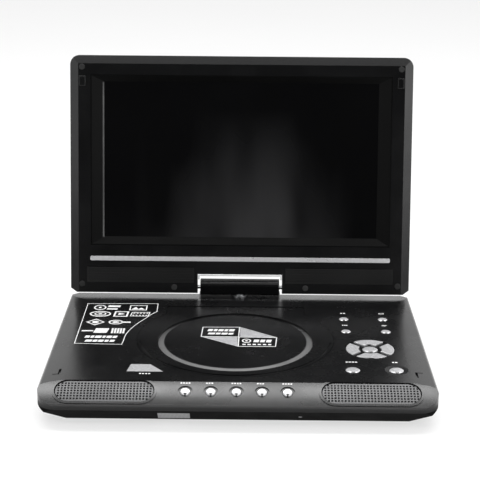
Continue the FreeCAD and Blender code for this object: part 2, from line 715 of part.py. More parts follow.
def make_door():
    """Round panel with two raised ridges, a hinge barrel and moulded pins."""
    top = size("base_height")
    low = top - size("door_thickness")
    disc = Vector(size("disc_x"), size("disc_y"), 0)
    axis_y, axis_z = size("disc_y + barrel_reach"), size("barrel_height")
    panel = door_outline(0, low, top)
    panel = panel.cut(solid_box((-FAR, axis_y, 0), (FAR, FAR, 60)))
    panel = panel.cut(barrel_side_relief(axis_y))
    left, right = disc.x - size("tab_left"), disc.x + size("tab_right")
    barrel = solid_rod(size("barrel_radius"), (left, axis_y, axis_z), (right, axis_y, axis_z))
    cap = solid_box((left, axis_y - 3, low), (right, axis_y, top))
    pins = solid_rod(size("door_pin_radius"), (left - 2.4, axis_y, axis_z), (right + 2.4, axis_y, axis_z))
    door = panel.fuse([barrel, cap, pins])

    door = door.cut([ring_channel(disc, top), step_ring(disc, top)])
    catch = Part.makeBox(3, 6, 3, Vector(64.6, -3, low - 3))
    catch.rotate(Vector(), Z_AXIS, math.degrees(open_key_angle()))
    catch.translate(Vector(disc.x, disc.y, 0))
    return node("disc_door", shaped("disc_door", door.fuse(catch).removeSplitter()))


def ring_channel(disc, top):
    """Channel on the door, a little in front of the disc: its floor falls outwards to a step back up."""
    inner, outer, depth = size("channel_inner"), size("channel_outer"), size("channel_depth")
    points = [Vector(inner, 0, top), Vector(outer, 0, top - depth), Vector(outer, 0, top + 1),
              Vector(inner - 3, 0, top + 1), Vector(inner - 3, 0, top)]
    channel = Part.Face(Part.makePolygon(points + points[:1])).revolve(Vector(), Z_AXIS, 360)
    channel.translate(Vector(disc.x, disc.y - size("channel_forward"), 0))
    return channel


def barrel_side_relief(axis_y):
    """Nothing wider than the tab reaches back to the barrel."""
    left, right = size("disc_x - tab_left"), size("disc_x + tab_right")
    rear = solid_box((-FAR, axis_y - 12, 0), (FAR, axis_y + 1, 60))
    return rear.cut(solid_box((left, axis_y - 20, -1), (right, axis_y + 5, 61)))


def step_ring(disc, top):
    """Crescent step in front of the disc's middle, deepest at the door's front."""
    radius = size("step_radius")
    outer = Part.makeCylinder(radius, 3, Vector(disc.x, disc.y, top - size("step_depth")))
    inner = Part.makeCylinder(radius - size("step_width"), 5, Vector(disc.x, disc.y + 1, top - 1.5))
    half = solid_box((-FAR, disc.y - 90, 0), (FAR, disc.y - 8, 60))
    return outer.cut(inner).common(half)


def make_clamp_pad():
    low = "base_height - door_thickness - 0.9"
    profile = [("3.5", low), ("8.5", low), ("10.5", f"{low} + 0.9"), ("3.5", f"{low} + 0.9")]
    pad = node("disc_clamp_pad", turned("disc_clamp_pad", profile))
    place(pad, "disc_x", "disc_y", "0")


def make_open_button():
    top = size("base_height")
    cap = wedge_prism(0, top - 3.6, top + size("key_rise"))
    flange = wedge_prism(1.0, top - 4.4, top - 3.0)
    return node("open_button", shaped("open_button", cap.fuse(flange).removeSplitter()))


def make_latch_hook():
    """Sliding hook whose nose faces the door's catch and whose tail the open key wedges back."""
    low = size("base_height - door_thickness") - 3.4
    nose = Part.makeBox(6, 5, 2.1, Vector(68.0, -2.5, low))
    tail = Part.makeBox(5, 5, 4.4, Vector(72.6, -2.5, low - 4.4))
    hook = nose.fuse(tail).removeSplitter()
    hook.rotate(Vector(), Z_AXIS, math.degrees(open_key_angle()))
    hook.translate(Vector(size("disc_x"), size("disc_y"), 0))
    return node("latch_hook", shaped("latch_hook", hook))


# ---- keys ---------------------------------------------------------------------------------------

def round_key(label, radius, x, reach):
    """Domed key with a flange that stops it leaving the shell."""
    low = "base_height - 4.4"
    profile = [
        ("0", low), (f"{radius} + 1", low), (f"{radius} + 1", f"{low} + 1.2"), (radius, f"{low} + 1.2"),
        (radius, "base_height + key_rise - 0.6"), (f"{radius} * 0.82", "base_height + key_rise - 0.15"),
        (f"{radius} * 0.45", "base_height + key_rise"), ("0", "base_height + key_rise"),
    ]
    key = node(label, turned(label, profile))
    place(key, x, f"disc_y + {reach}", "0")


def make_nav_keys():
    top = size("base_height")
    names = {"nav_right_key": 0, "nav_up_key": 90, "nav_left_key": 180, "nav_down_key": 270}
    for label, angle in names.items():
        inner, outer, slit = size("ring_inner"), size("ring_outer"), size("ring_slit")
        cap = quadrant(angle, inner, outer, slit, top - 3.6, top + size("key_rise"))
        cap = cap.makeFillet(0.35, [e for e in cap.Edges if e.BoundBox.ZMin > top])
        flange = quadrant(angle, inner + 1, outer + 1, slit + 2, top - 4.4, top - 3.3)
        key = cap.fuse(flange)
        key.translate(nav_centre())
        node(label, shaped(label, key.removeSplitter()))


def make_front_buttons():
    """Five domed buttons along the front slope."""
    names = ("power_button", "mode_button", "menu_button", "volume_down_button", "volume_up_button")
    profile = [
        ("0", "-4.2"), ("front_key_radius + 0.9", "-4.2"), ("front_key_radius + 0.9", "-3.1"),
        ("front_key_radius", "-3.1"), ("front_key_radius", "0"), ("front_key_radius * 0.9", "0.55"),
        ("front_key_radius * 0.62", "1"), ("0", "1.25"),
    ]
    for label, x in zip(names, front_key_spots()):
        node(label, turned(label, profile), slope_frame(size("front_key_angle"), x))


def make_key_boards():
    right = box("right_board", ("66", "disc_y - 67", "key_board_height"), ("52", "118", "board_thickness"))
    front = doc.addObject("Part::Box", "front_board")
    bind(front, Length="88", Width="9", Height="board_thickness")
    frame = slope_frame(size("front_key_angle"), size("front_key_x"))
    front.Placement = frame.multiply(Placement(Vector(-44, -4.5, -7.4), Rotation()))
    return node("key_boards", group("key_boards", [right, front]))


def make_power_switch():
    """Slider in the left wall."""
    middle = sum(SWITCH_SLOT) / 2 - 1.5
    cap = box("switch_cap", ("-base_width / 2", middle - 2.5, PORT_HEIGHT - 1.5), ("3", "5", "3"))
    skirt = box("switch_skirt", ("-base_width / 2 + 2.3", middle - 5, PORT_HEIGHT - 2.6), ("2", "10", "5.2"))
    return node("power_switch", fuse("power_switch", [cap, skirt]))


# ---- electrics ------------------------------------------------------------------------------------

def make_main_board():
    board = box("board", ("-112", "-70", "5.2"), ("68", "128", "1.6"))
    parts = [("-100", "-40", "22", "22"), ("-70", "-46", "14", "20"), ("-102", "6", "18", "12"),
             ("-74", "10", "24", "10"), ("-66", "34", "16", "16"), ("-104", "34", "8", "14")]
    chips = [box(f"chip_{index}", (x, y, "6.6"), (length, width, "2"))
             for index, (x, y, length, width) in enumerate(parts)]
    return node("main_board", fuse("main_board", [board] + chips))


def make_battery():
    return node("battery_pack", plate("battery_pack", rectangle("46", "-82", "112", "44"), "4.3", "8.2"))


def make_speaker_drivers():
    drivers = []
    for side in (-1, 1):
        magnet = Part.makeBox(22, 7, 3, Vector(-11, -3.5, -7.4))
        basket = stadium(50, 13, 2)
        basket.translate(Vector(0, 0, -3.6))
        driver = basket.fuse(magnet).removeSplitter()
        driver.Placement = pod_frame(side)
        drivers.append(driver)
    return node("speaker_drivers", shaped("speaker_drivers", Part.makeCompound(drivers)))


def make_speaker_grilles():
    """Punched plates that follow the slope's curve."""
    pitch, hole, sink = size("grille_pitch"), size("grille_hole"), size("grille_sink")
    for side, label in ((-1, "left_speaker_grille"), (1, "right_speaker_grille")):
        skin = base_block(sink).cut(base_block(sink + size("grille_thickness")))
        grille = skin.common(pod_prism(side, -size("grille_gap")))
        half_length, half_width = size("pod_length") / 2, size("pod_width") / 2
        punches = []
        for column in range(-14, 15):
            for row in range(-3, 4):
                x, y = column * pitch, row * pitch
                past = max(0.0, abs(x) - (half_length - half_width))
                if math.hypot(past, y) + hole < half_width:
                    punches.append(Part.makeBox(hole, hole, 12, Vector(x - hole / 2, y - hole / 2, -6)))
        tool = Part.makeCompound(punches)
        tool.Placement = pod_frame(side)
        node(label, shaped(label, grille.cut(tool)))


def make_jacks():
    """Jack bodies just inside the left wall, each with its socket open to the left."""
    wall = "-base_width / 2 + base_wall"

    def jack(name, y, radius, depth):
        width = 2 * radius + (1.2 if radius > 2 else 3)
        body = box(name + "_body", (wall, y - width / 2, PORT_HEIGHT - width / 2), (depth, width, width))
        bore = cylinder(name + "_bore", ("-base_width / 2 - 1", y, PORT_HEIGHT), radius, depth, X_AXIS)
        return cut(name, body, bore)

    y, radius = JACKS["dc"]
    pin = cylinder("dc_pin", (f"{wall} + 1.5", y, PORT_HEIGHT), "0.95", "9", X_AXIS)
    node("dc_jack", fuse("dc_jack", [jack("dc_sleeve", y, radius, 12), pin]))
    others = [jack(name, *JACKS[name], 13) for name in ("phones", "av_out")]
    node("signal_jacks", group("signal_jacks", others))


def make_ports():
    wall = "base_width / 2 - base_wall"
    for label, key, depth in (("usb_port", "usb", 13), ("card_slot", "card", 12)):
        y, width, height = PORTS[key]
        shell = box(label + "_shell", (f"{wall} - {depth}", y - width / 2 - 0.6, PORT_HEIGHT - height / 2 - 0.6),
                    (depth, width + 1.2, height + 1.2))
        mouth = box(label + "_mouth", (f"{wall} - {depth - 2}", y - width / 2, PORT_HEIGHT - height / 2),
                    (depth, width, height))
        hollow = cut(label + "_hollow", shell, mouth)
        if key == "usb":
            tongue = box("usb_tongue", (f"{wall} - {depth - 1}", y - 5.5, PORT_HEIGHT + 0.2), ("9", "11", "1.9"))
            hollow = fuse("usb_socket", [hollow, tongue])
        node(label, hollow)


# ---- hinge ------------------------------------------------------------------------------------------

def make_hinge_block():
    """Cross bar that turns on the base and carries the display's tilt axles."""
    y, z = size("disc_y + hinge_reach"), size("hinge_height")
    half, reach = size("block_width") / 2, size("block_front")
    block = solid_box((-half, y - reach, z - size("block_below")), (half, y + reach, z + reach))

    def along_x(edge):
        ends = edge.Vertexes
        return len(ends) == 2 and (ends[0].Point - ends[1].Point).cross(X_AXIS).Length < 1e-6

    block = rounded(block, size("block_corner"), along_x)
    bores = [solid_rod(size("axle_radius"), (side * (half - 9), y, z), (side * (half + 1), y, z))
             for side in (-1, 1)]
    bores.append(Part.makeCylinder(size("shaft_radius"), 4, Vector(0, y, z - size("block_below") - 1)))
    return node("hinge_block", shaped("hinge_block", block.cut(bores)))


def make_swivel():
    base = "hinge_height - block_below"
    profile = [
        ("0", "11.8"), ("5.7", "11.8"), ("5.7", "13.3"), ("shaft_radius", "13.3"),
        ("shaft_radius", "pedestal_height + 0.1"), ("neck_radius", "pedestal_height + 0.1"),
        ("neck_radius", base), ("shaft_radius", base), ("shaft_radius", f"{base} + 3"), ("0", f"{base} + 3"),
    ]
    shaft = node("swivel_shaft", turned("swivel_shaft", profile))
    place(shaft, "0", "disc_y + hinge_reach", "0")
    ring = [("shaft_radius + 0.06", "13.5"), ("bush_radius", "13.5"), ("bush_radius", "19.4"),
            ("shaft_radius + 0.06", "19.4")]
    bush = node("swivel_bush", turned("swivel_bush", ring))
    place(bush, "0", "disc_y + hinge_reach", "0")


def make_axles():
    axles = []
    for side in (-1, 1):
        start = "block_width / 2 - 9" if side > 0 else "-block_width / 2 - 15"
        axles.append(cylinder(f"axle_{side}", (start, "disc_y + hinge_reach", "hinge_height"),
                              "axle_radius", "24", X_AXIS))
    return node("tilt_axles", group("tilt_axles", axles))


# ---- display: built upright about the tilt axis, then leant back ----------------------------------------

def lid_frame():
    spot = Vector(0, size("disc_y + hinge_reach"), size("hinge_height"))
    return Placement(spot, Rotation(X_AXIS, -size("lean_angle")))


def lid_outline(inset):
    """Prism of the display's front view: round top corners and clipped bottom corners."""
    half = size("lid_width") / 2 - inset
    low, high = inset - size("lid_bottom"), size("lid_top") - inset
    run, rise = 5.0, 3.4
    corners = [(-half, low + rise), (run - half, low), (half - run, low), (half, low + rise),
               (half, high), (-half, high)]
    points = [Vector(x, -20, z) for x, z in corners]
    prism = Part.Face(Part.makePolygon(points + points[:1])).extrude(Vector(0, 40, 0))

    def is_top(edge):
        return edge.BoundBox.ZMin > high - 1 and edge.BoundBox.XLength < 1e-6

    return rounded(prism, 7.5 - min(inset, 4), is_top)


def lid_block(inset):
    """The display's whole form: bevelled rim in front, rounded back."""
    front, back = -size("lid_front") + inset, size("lid_back") - inset
    half = size("lid_width") / 2 - inset
    low, high = inset - size("lid_bottom"), size("lid_top") - inset
    rim, fall = size("lid_rim"), size("lid_rim_fall")
    round_back, round_foot = 4.5 - inset, 6.0 - inset

    def quarter(depth, height, radius, start):
        """Quarter turn in the side view, as three points."""
        return rim_turn(Vector(0, depth, height), radius, start, start + 90)

    foot_turn = quarter(back - round_foot, low + round_foot, round_foot, 270)
    head_turn = quarter(back - round_back, high - round_back, round_back, 0)
    corners = [head_turn[2], Vector(0, front + fall, high), Vector(0, front, high - rim),
               Vector(0, front, low + 1), Vector(0, front + 1, low), foot_turn[0]]
    edges = [arc(*foot_turn), line(foot_turn[2], head_turn[0]), arc(*head_turn)]
    edges += [line(start, end) for start, end in zip(corners[:-1], corners[1:])]
    side = Part.Face(Part.Wire(edges)).extrude(Vector(FAR, 0, 0))
    side.translate(Vector(-FAR / 2, 0, 0))

    right = [Vector(half - round_back + point.z, back - round_back + point.y, 0)
             for point in quarter(0, 0, round_back, 0)]
    left = [Vector(-point.x, point.y, 0) for point in right]
    corners = [right[0], left[0], left[2], Vector(-half, front + fall, 0), Vector(rim - half, front, 0),
               Vector(half - rim, front, 0), Vector(half, front + fall, 0), right[2]]
    edges = [line(corners[0], corners[1]), arc(*left), arc(*right)]
    edges += [line(start, end) for start, end in zip(corners[2:-1], corners[3:])]
    plan = Part.Face(Part.Wire(Part.sortEdges(edges)[0])).extrude(Vector(0, 0, FAR))
    plan.translate(Vector(0, 0, -FAR / 4))
    return side.common(plan).common(lid_outline(inset))


def lid_notch():
    half = size("notch_half_width")
    return solid_box((-half, -30, -30), (half, 30, size("notch_top")))


def lid_shell_cuts():
    """What both display shells leave out: the hollow, the hinge notch and the axle holes."""
    wall = size("lid_wall")
    half = size("notch_half_width")
    notch_wall = solid_box((-half - wall, -30, -30), (half + wall, 30, size("notch_top") + wall))
    hollow = lid_block(wall).cut(notch_wall)
    axle = solid_rod(size("axle_radius") + 0.6, (-60, 0, 0), (60, 0, 0))
    return [hollow, lid_notch(), axle]


def bumper_spots():
    """Places of the round bumpers on the display's face."""
    return [(-124.6, 172.7), (124.6, 172.7), (-124.8, 2.2), (124.8, 2.2), (-51.9, 0), (51.9, 0)]


def make_bezel():
    front = -size("lid_front")
    shell = lid_block(0).common(solid_box((-FAR, -30, -50), (FAR, size("lid_parting"), 300)))
    low, high = size("surround_low"), size("surround_high")
    half = size("surround_width") / 2 + 0.05
    cuts = [solid_box((-half, -30, low - 0.05), (half, 30, high + 0.05))]
    groove = size("strip_width") / 2 + 0.1
    cuts.append(solid_box((-groove, -30, size("strip_low") - 0.1), (groove, front + 0.6, size("strip_high") + 0.1)))
    for side in (-1, 1):
        near, far = sorted((side * size("mesh_inner"), side * size("mesh_outer")))
        cuts.append(solid_box((near, -30, size("mesh_low")), (far, front + size("mesh_depth"), size("mesh_high"))))
    cuts += [solid_rod(2.55, (x, -30, z), (x, front + 1.2, z)) for x, z in bumper_spots()]
    catches = [solid_box((side * 124.3 - 2.7, front - 0.8, 157.8), (side * 124.3 + 2.7, front + 1.2, 165.9))
               for side in (-1, 1)]
    catches = [rounded(catch, 0.7, lambda e: e.BoundBox.YMax < front - 0.5) for catch in catches]
    shell = shell.cut(lid_shell_cuts() + cuts).fuse(catches)
    return node("display_bezel", shaped("display_bezel", shell, lid_frame()))


def make_back_cover():
    parting = size("lid_parting") + 0.15
    shell = lid_block(0).common(solid_box((-FAR, parting, -50), (FAR, 30, 300)))
    return node("display_back_cover", shaped("display_back_cover", shell.cut(lid_shell_cuts()), lid_frame()))


def make_surround():
    """Sloping frame between the bezel's face and the sunken screen."""
    front, depth = -size("lid_front") + 0.15, size("screen_depth")
    half, low, high = size("surround_width") / 2, size("surround_low"), size("surround_high")
    frame = solid_box((-half, front, low), (half, front + depth, high))
    edge = 0.8

    def opening(y, left, right, bottom, top):
        points = [Vector(left, y, bottom), Vector(right, y, bottom), Vector(right, y, top), Vector(left, y, top)]
        return Part.makePolygon(points + points[:1])

    screen = size("screen_width") / 2
    outer = opening(front - 0.01, edge - half, half - edge, low + edge, high - edge)
    inner = opening(front + depth + 0.01, -screen, screen, size("screen_low"), size("screen_high"))
    frame = frame.cut(Part.makeLoft([outer, inner], True, True))
    return node("screen_surround", shaped("screen_surround", frame, lid_frame()))


def make_display_inside():
    """Screen panel, its driver board and the two brackets that the tilt axles run in."""
    behind = "-lid_front + 0.25 + screen_depth"
    panel = box("panel", ("-screen_width / 2 - 3", behind, "screen_low - 3"),
                ("screen_width + 6", "3.6", "screen_high - screen_low + 6"))
    node("lcd_panel", fuse("lcd_panel", [panel, box("panel_lug", ("-20", behind, "screen_low - 7"),
                                                    ("40", "3", "5"))]), lid_frame())
    board = box("driver_board", ("-70", "3.2", "36"), ("140", "1.4", "44"))
    chip = box("driver_chip", ("-12", "4.5", "50"), ("24", "1", "18"))
    node("display_board", fuse("display_board", [board, chip]), lid_frame())
    arms = []
    for side in (-1, 1):
        low = "notch_half_width + lid_wall + 0.3" if side > 0 else "-notch_half_width - lid_wall - 9.8"
        leaf = box(f"arm_leaf_{side}", (low, "-lid_front + lid_wall + 0.5", "-lid_bottom + lid_wall + 0.6"),
                   ("9.5", "5.2", "24"))
        bore = cylinder(f"arm_bore_{side}", ("-70", "0", "0"), "axle_radius + 0.06", "140", X_AXIS)
        arms.append(cut(f"arm_{side}", leaf, bore))
    node("hinge_arms", group("hinge_arms", arms), lid_frame())


def make_hinge_trim():
    """Bright frame that lines the display's notch round the hinge block."""
    front = -size("lid_front") - 0.2
    half, top = size("notch_half_width") - 0.05, size("notch_top") - 0.05
    bar_low, leg_low, leg = 9.2, 6.3, 1.4
    frame = solid_box((-half, front, leg_low), (half, 0.5, top))
    opening = solid_box((leg - half, front - 1, leg_low - 1), (half - leg, 3, bar_low))
    frame = frame.cut(opening)
    frame = rounded(frame, 0.5, lambda e: e.BoundBox.YMax < front + 0.01 and e.BoundBox.ZMin > bar_low - 0.01)
    return node("hinge_trim", shaped("hinge_trim", frame, lid_frame()))


def make_strip():
    front = -size("lid_front")
    length = size("strip_width")
    low, high = size("strip_low"), size("strip_high")
    strip = solid_box((-length / 2, front - 0.2, low), (length / 2, front + 0.6, high))
    strip = rounded(strip, 1.2, lambda e: e.BoundBox.YLength > 0.5)
    strip = rounded(strip, 0.18, lambda e: e.BoundBox.YMax < front - 0.1)
    return node("silver_strip", shaped("silver_strip", strip, lid_frame()))


def make_bumpers():
    """Six round rubber stops on the display's face."""
    front = -size("lid_front")
    bumpers = []
    for x, z in bumper_spots():
        stop = solid_rod(2.4, (x, front + 1.1, z), (x, front - 0.6, z))
        bumpers.append(rounded(stop, 0.6, lambda e: e.BoundBox.YMax < front))
    return node("lid_bumpers", shaped("lid_bumpers", Part.makeCompound(bumpers), lid_frame()))


# ---- assembly -------------------------------------------------------------------------------------------

def build():
    make_top_shell()
    make_bottom_case()
    node("ir_window", shaped("ir_window", ir_window_block(0)))
    make_feet()
    make_case_screws()
    make_deck()
    make_chassis()
    make_guide_rods()
    make_spindle_motor()
    make_turntable()
    make_sled()
    make_lens()
    make_sled_drive()
    make_door()
    make_clamp_pad()
    make_open_button()
    make_latch_hook()
    for label, (x, reach) in key_places().items():
        round_key(label, "small_key_radius", x, reach)
    for label, (x, reach) in lower_key_places().items():
        round_key(label, "lower_key_radius", x, reach)
    round_key("ok_key", "ok_key_radius", "nav_x", "-nav_reach")
    make_nav_keys()
    make_front_buttons()
    make_key_boards()
    make_power_switch()
    make_main_board()
    make_battery()
    make_speaker_drivers()
    make_speaker_grilles()
    make_jacks()
    make_ports()
    make_hinge_block()
    make_swivel()
    make_axles()
    make_bezel()
    make_back_cover()
    make_surround()
    make_display_inside()
    make_hinge_trim()
    make_strip()
    make_bumpers()


def check_and_export():
    doc.recompute()
    for item in doc.Objects:
        if "Invalid" in item.State or "Error" in item.State:
            raise RuntimeError(f"{item.Name} failed to build: {item.State}")
    os.makedirs("parts", exist_ok=True)
    whole = FreeCAD.BoundBox()
    for item in nodes:
        if item.Shape.isNull() or not item.Shape.isValid():
            raise RuntimeError(f"{item.Label} has no valid shape")
        item.Shape.exportStep(f"parts/{item.Label}.step")
        whole.add(item.Shape.BoundBox)
        print(f"{item.Label:22s} solids {len(item.Shape.Solids)} volume {item.Shape.Volume:10.1f}")
    print(f"{len(nodes)} sub-parts, box {whole}")


build()
check_and_export()
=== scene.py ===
"""Portable disc player: materials, printed marks, perforated panels, lamp, studio and camera.

Metres in the frame of the CAD: X to the right, Y to the rear, Z up.
"""
import json
import math

import bmesh
import bpy
from mathutils import Matrix, Vector
from mathutils.bvhtree import BVHTree


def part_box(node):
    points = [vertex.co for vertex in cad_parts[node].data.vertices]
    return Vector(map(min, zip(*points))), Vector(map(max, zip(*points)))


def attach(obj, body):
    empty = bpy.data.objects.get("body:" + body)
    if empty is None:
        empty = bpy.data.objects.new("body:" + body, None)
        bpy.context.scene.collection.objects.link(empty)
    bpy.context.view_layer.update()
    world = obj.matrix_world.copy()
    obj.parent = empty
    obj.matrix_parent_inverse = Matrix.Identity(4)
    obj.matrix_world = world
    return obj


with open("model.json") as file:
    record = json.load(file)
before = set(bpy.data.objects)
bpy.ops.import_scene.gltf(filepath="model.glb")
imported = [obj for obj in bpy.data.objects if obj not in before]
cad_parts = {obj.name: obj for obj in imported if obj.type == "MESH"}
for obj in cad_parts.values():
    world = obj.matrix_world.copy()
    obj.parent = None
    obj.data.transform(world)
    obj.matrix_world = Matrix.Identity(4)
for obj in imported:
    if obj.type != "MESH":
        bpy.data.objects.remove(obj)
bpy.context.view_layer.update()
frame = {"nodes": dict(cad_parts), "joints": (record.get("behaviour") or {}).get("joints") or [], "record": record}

NODES = frame["nodes"]
MM = 0.001


# ---- measures taken from the frame ------------------------------------------------------------------

def middle(node):
    low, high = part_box(node)
    return (low + high) / 2


DISC = middle("turntable_hub")
TILT = Vector(next(joint["pos_m"] for joint in frame["joints"] if joint["name"] == "screen_tilt"))
LEAN = math.radians(11.6)
LID_FRAME = Matrix.Translation(TILT) @ Matrix.Rotation(-LEAN, 4, "X")
LID_FRONT = -4.4 * MM
# the door's ring channel: how far its middle is in front of the disc's, and its radii
CHANNEL_FORWARD, CHANNEL_INNER, CHANNEL_OUTER = 5.5 * MM, 51.3 * MM, 56.3 * MM
# the screen's opening: left edge, foot and head
SCREEN_LEFT, SCREEN_FOOT, SCREEN_HEAD = -107.5 * MM, 71 * MM, 190 * MM
# the upright walls of the top shell start below this height
WALL_TOP = 17.5 * MM
# the recesses beside the hinge: nearest and farthest |x|, foot and head up the lid, in mm
MESH_PLATE = (36.15, 121.05, 3.55, 15.55)
FRONT_KEYS = ("power_button", "mode_button", "menu_button", "volume_down_button", "volume_up_button")
SMALL_KEYS = ("upper_left_key", "upper_right_key", "middle_left_key", "middle_right_key")
LOWER_KEYS = ("lower_left_key", "lower_right_key")


# ---- materials --------------------------------------------------------------------------------------

class Finish:
    """One Principled material and the nodes that feed it. Patterns use the node's own coordinates."""

    def __init__(self, name, roughness=0.4, **sockets):
        self.material = bpy.data.materials.new(name)
        self.material.use_nodes = True
        self.tree = self.material.node_tree
        self.shader = self.tree.nodes["Principled BSDF"]
        self.shader.inputs["Roughness"].default_value = roughness
        for socket, value in sockets.items():
            self.shader.inputs[socket.replace("_", " ")].default_value = value
        self.place = self.add("ShaderNodeTexCoord").outputs["Object"]

    def add(self, kind, **settings):
        made = self.tree.nodes.new(kind)
        for name, value in settings.items():
            setattr(made, name, value)
        return made

    def feed(self, made, **values):
        """Sets or links the inputs of a node by name, or by number where names repeat (n0, n1 ...)."""
        for name, value in values.items():
            key = int(name[1:]) if name[0] == "n" and name[1:].isdigit() else name.replace("_", " ")
            if isinstance(value, bpy.types.NodeSocket):
                self.tree.links.new(value, made.inputs[key])
            else:
                made.inputs[key].default_value = value
        return made

    def noise(self, scale, detail=3.0, stretch=(1, 1, 1), rough=0.5):
        place = self.feed(self.add("ShaderNodeVectorMath", operation="MULTIPLY"), n0=self.place, n1=stretch)
        made = self.add("ShaderNodeTexNoise")
        self.feed(made, Vector=place.outputs[0], Scale=scale, Detail=detail, Roughness=rough)
        return made.outputs["Fac"]

    def span(self, value, low, high, to_low=0.0, to_high=1.0):
        made = self.add("ShaderNodeMapRange", clamp=True)
        self.feed(made, Value=value, From_Min=low, From_Max=high, To_Min=to_low, To_Max=to_high)
        return made.outputs["Result"]

    def maths(self, operation, *values):
        made = self.add("ShaderNodeMath", operation=operation)
        self.feed(made, **{f"n{index}": value for index, value in enumerate(values)})
        return made.outputs[0]

    def product(self, first, *others):
        for other in others:
            first = self.maths("MULTIPLY", first, other)
        return first

    def mix(self, factor, first, second):
        made = self.add("ShaderNodeMix", data_type="RGBA")
        self.feed(made, n0=factor, n6=rgba(first), n7=rgba(second))
        return made.outputs[2]

    def parts(self, vector):
        return self.feed(self.add("ShaderNodeSeparateXYZ"), Vector=vector).outputs

    def axes(self):
        return self.parts(self.place)

    def colour(self, value):
        self.feed(self.shader, Base_Color=value)

    def roughness(self, value):
        self.feed(self.shader, Roughness=value)

    def bump(self, height, distance, strength):
        made = self.add("ShaderNodeBump")
        self.feed(made, Height=height, Distance=distance, Strength=strength)
        self.feed(self.shader, Normal=made.outputs["Normal"])

    def flow(self, dark, light):
        """Colour of moulded plastic, with faint flow marks."""
        return self.mix(self.span(self.noise(9.0, 4.0, (1, 1, 2)), 0.35, 0.65), dark, light)

    def smudge(self, low, high):
        """Roughness with handling marks."""
        return self.span(self.noise(26.0, 5.0, rough=0.62), 0.35, 0.7, low, high)

    def grain(self, distance, scale=1400.0):
        """Fine moulded grain."""
        self.bump(self.noise(scale, 2.0), distance, 0.5)


def rgba(value):
    """A socket as it is, a tuple or a grey level as a colour."""
    if isinstance(value, bpy.types.NodeSocket):
        return value
    if isinstance(value, (int, float)):
        value = (value, value, value)
    return (*value, 1.0)


def moulded(name, dark, light, rough_low, rough_high, specular=0.5, grain=0.00002, coat=0.0):
    """Moulded plastic: faint flow marks in colour, handling marks in gloss, fine moulded grain."""
    finish = Finish(name, Specular_IOR_Level=specular, Coat_Weight=coat, Coat_Roughness=0.08)
    finish.colour(finish.flow(dark, light))
    finish.roughness(finish.smudge(rough_low, rough_high))
    finish.grain(grain)
    return finish.material


def metal(name, dark, light, rough_low, rough_high, stretch=(1, 1, 1), scale=300.0, metallic=1.0):
    """Metal or plated plastic with brushing or fine unevenness along `stretch`."""
    finish = Finish(name, Metallic=metallic)
    streak = finish.noise(scale, 3.0, stretch)
    finish.colour(finish.mix(finish.span(streak, 0.3, 0.7), dark, light))
    finish.roughness(finish.span(finish.noise(40.0, 4.0), 0.3, 0.7, rough_low, rough_high))
    finish.bump(streak, 0.00001, 0.25)
    return finish.material


def key_look(name, dark, light, facing):
    """Plated key: painted shade makes it darker where it faces the rear, and a painted reflection puts a dark
    notch where the dome's foot faces the front.
    """
    finish = Finish(name, Metallic=0.4)
    streak = finish.noise(700.0)
    plated = finish.mix(finish.span(streak, 0.3, 0.7), dark, light)
    across, forward, _ = finish.parts(finish.add("ShaderNodeNewGeometry").outputs["Normal"])
    # painted shade: faces turned towards the rear are painted a darker grey
    rear = finish.span(forward, facing + 0.22, facing + 0.02)
    shaded = finish.mix(rear, 0.2, plated)
    # painted reflection: a dark notch painted where the dome's foot faces the front
    foot = finish.span(forward, facing - 0.16, facing - 0.24)
    narrow = finish.span(finish.maths("ABSOLUTE", across), 0.2, 0.1)
    finish.colour(finish.mix(finish.product(foot, narrow), shaded, 0.03))
    finish.roughness(finish.span(finish.noise(40.0, 4.0), 0.3, 0.7, 0.22, 0.32))
    finish.bump(streak, 0.00001, 0.25)
    return finish.material


def printed(name, dark, light):
    """Screen-printed ink: slightly uneven cover, no gloss."""
    finish = Finish(name, Specular_IOR_Level=0.25)
    cover = finish.noise(900.0, 3.0)
    finish.colour(finish.mix(finish.span(cover, 0.35, 0.6), dark, light))
    finish.roughness(finish.span(finish.noise(300.0), 0.3, 0.7, 0.4, 0.55))
    return finish.material


def hatched(name, dark, light, pitch):
    """Ink printed as a fine grid of dots."""
    finish = Finish(name, roughness=0.45, Specular_IOR_Level=0.25)
    x, y, _ = finish.axes()
    waves = [finish.maths("SINE", finish.maths("MULTIPLY", axis, 2 * math.pi / pitch)) for axis in (x, y)]
    dots = finish.product(*waves)
    cover = finish.maths("ADD", dots, finish.span(finish.noise(250.0), 0.2, 0.8, -0.3, 0.3))
    finish.colour(finish.mix(finish.span(cover, -0.35, 0.55), light, dark))
    return finish.material


def screen_glass(name):
    """Switched-off panel: near black, with a faint uneven grey painted into its lower middle as painted light."""
    finish = Finish(name, Specular_IOR_Level=0.18)
    x, _, z = finish.axes()
    cloud = finish.noise(7.0, 2.5, (2.2, 1, 0.75))
    lower = finish.span(z, 0.17, 0.07)
    # painted light: a cloudy grey patch painted in the lower middle of the dark glass
    painted_glow = finish.product(finish.span(cloud, 0.4, 0.64), lower, finish.span(x, -0.085, -0.03),
                          finish.span(x, 0.09, 0.05))
    finish.colour(finish.mix(painted_glow, (0.0012, 0.0012, 0.0014), (0.03, 0.03, 0.031)))
    finish.roughness(finish.span(finish.noise(16.0, 4.0), 0.3, 0.7, 0.12, 0.2))
    finish.bump(finish.noise(2600.0, 1.0), 0.000004, 0.3)
    return finish.material


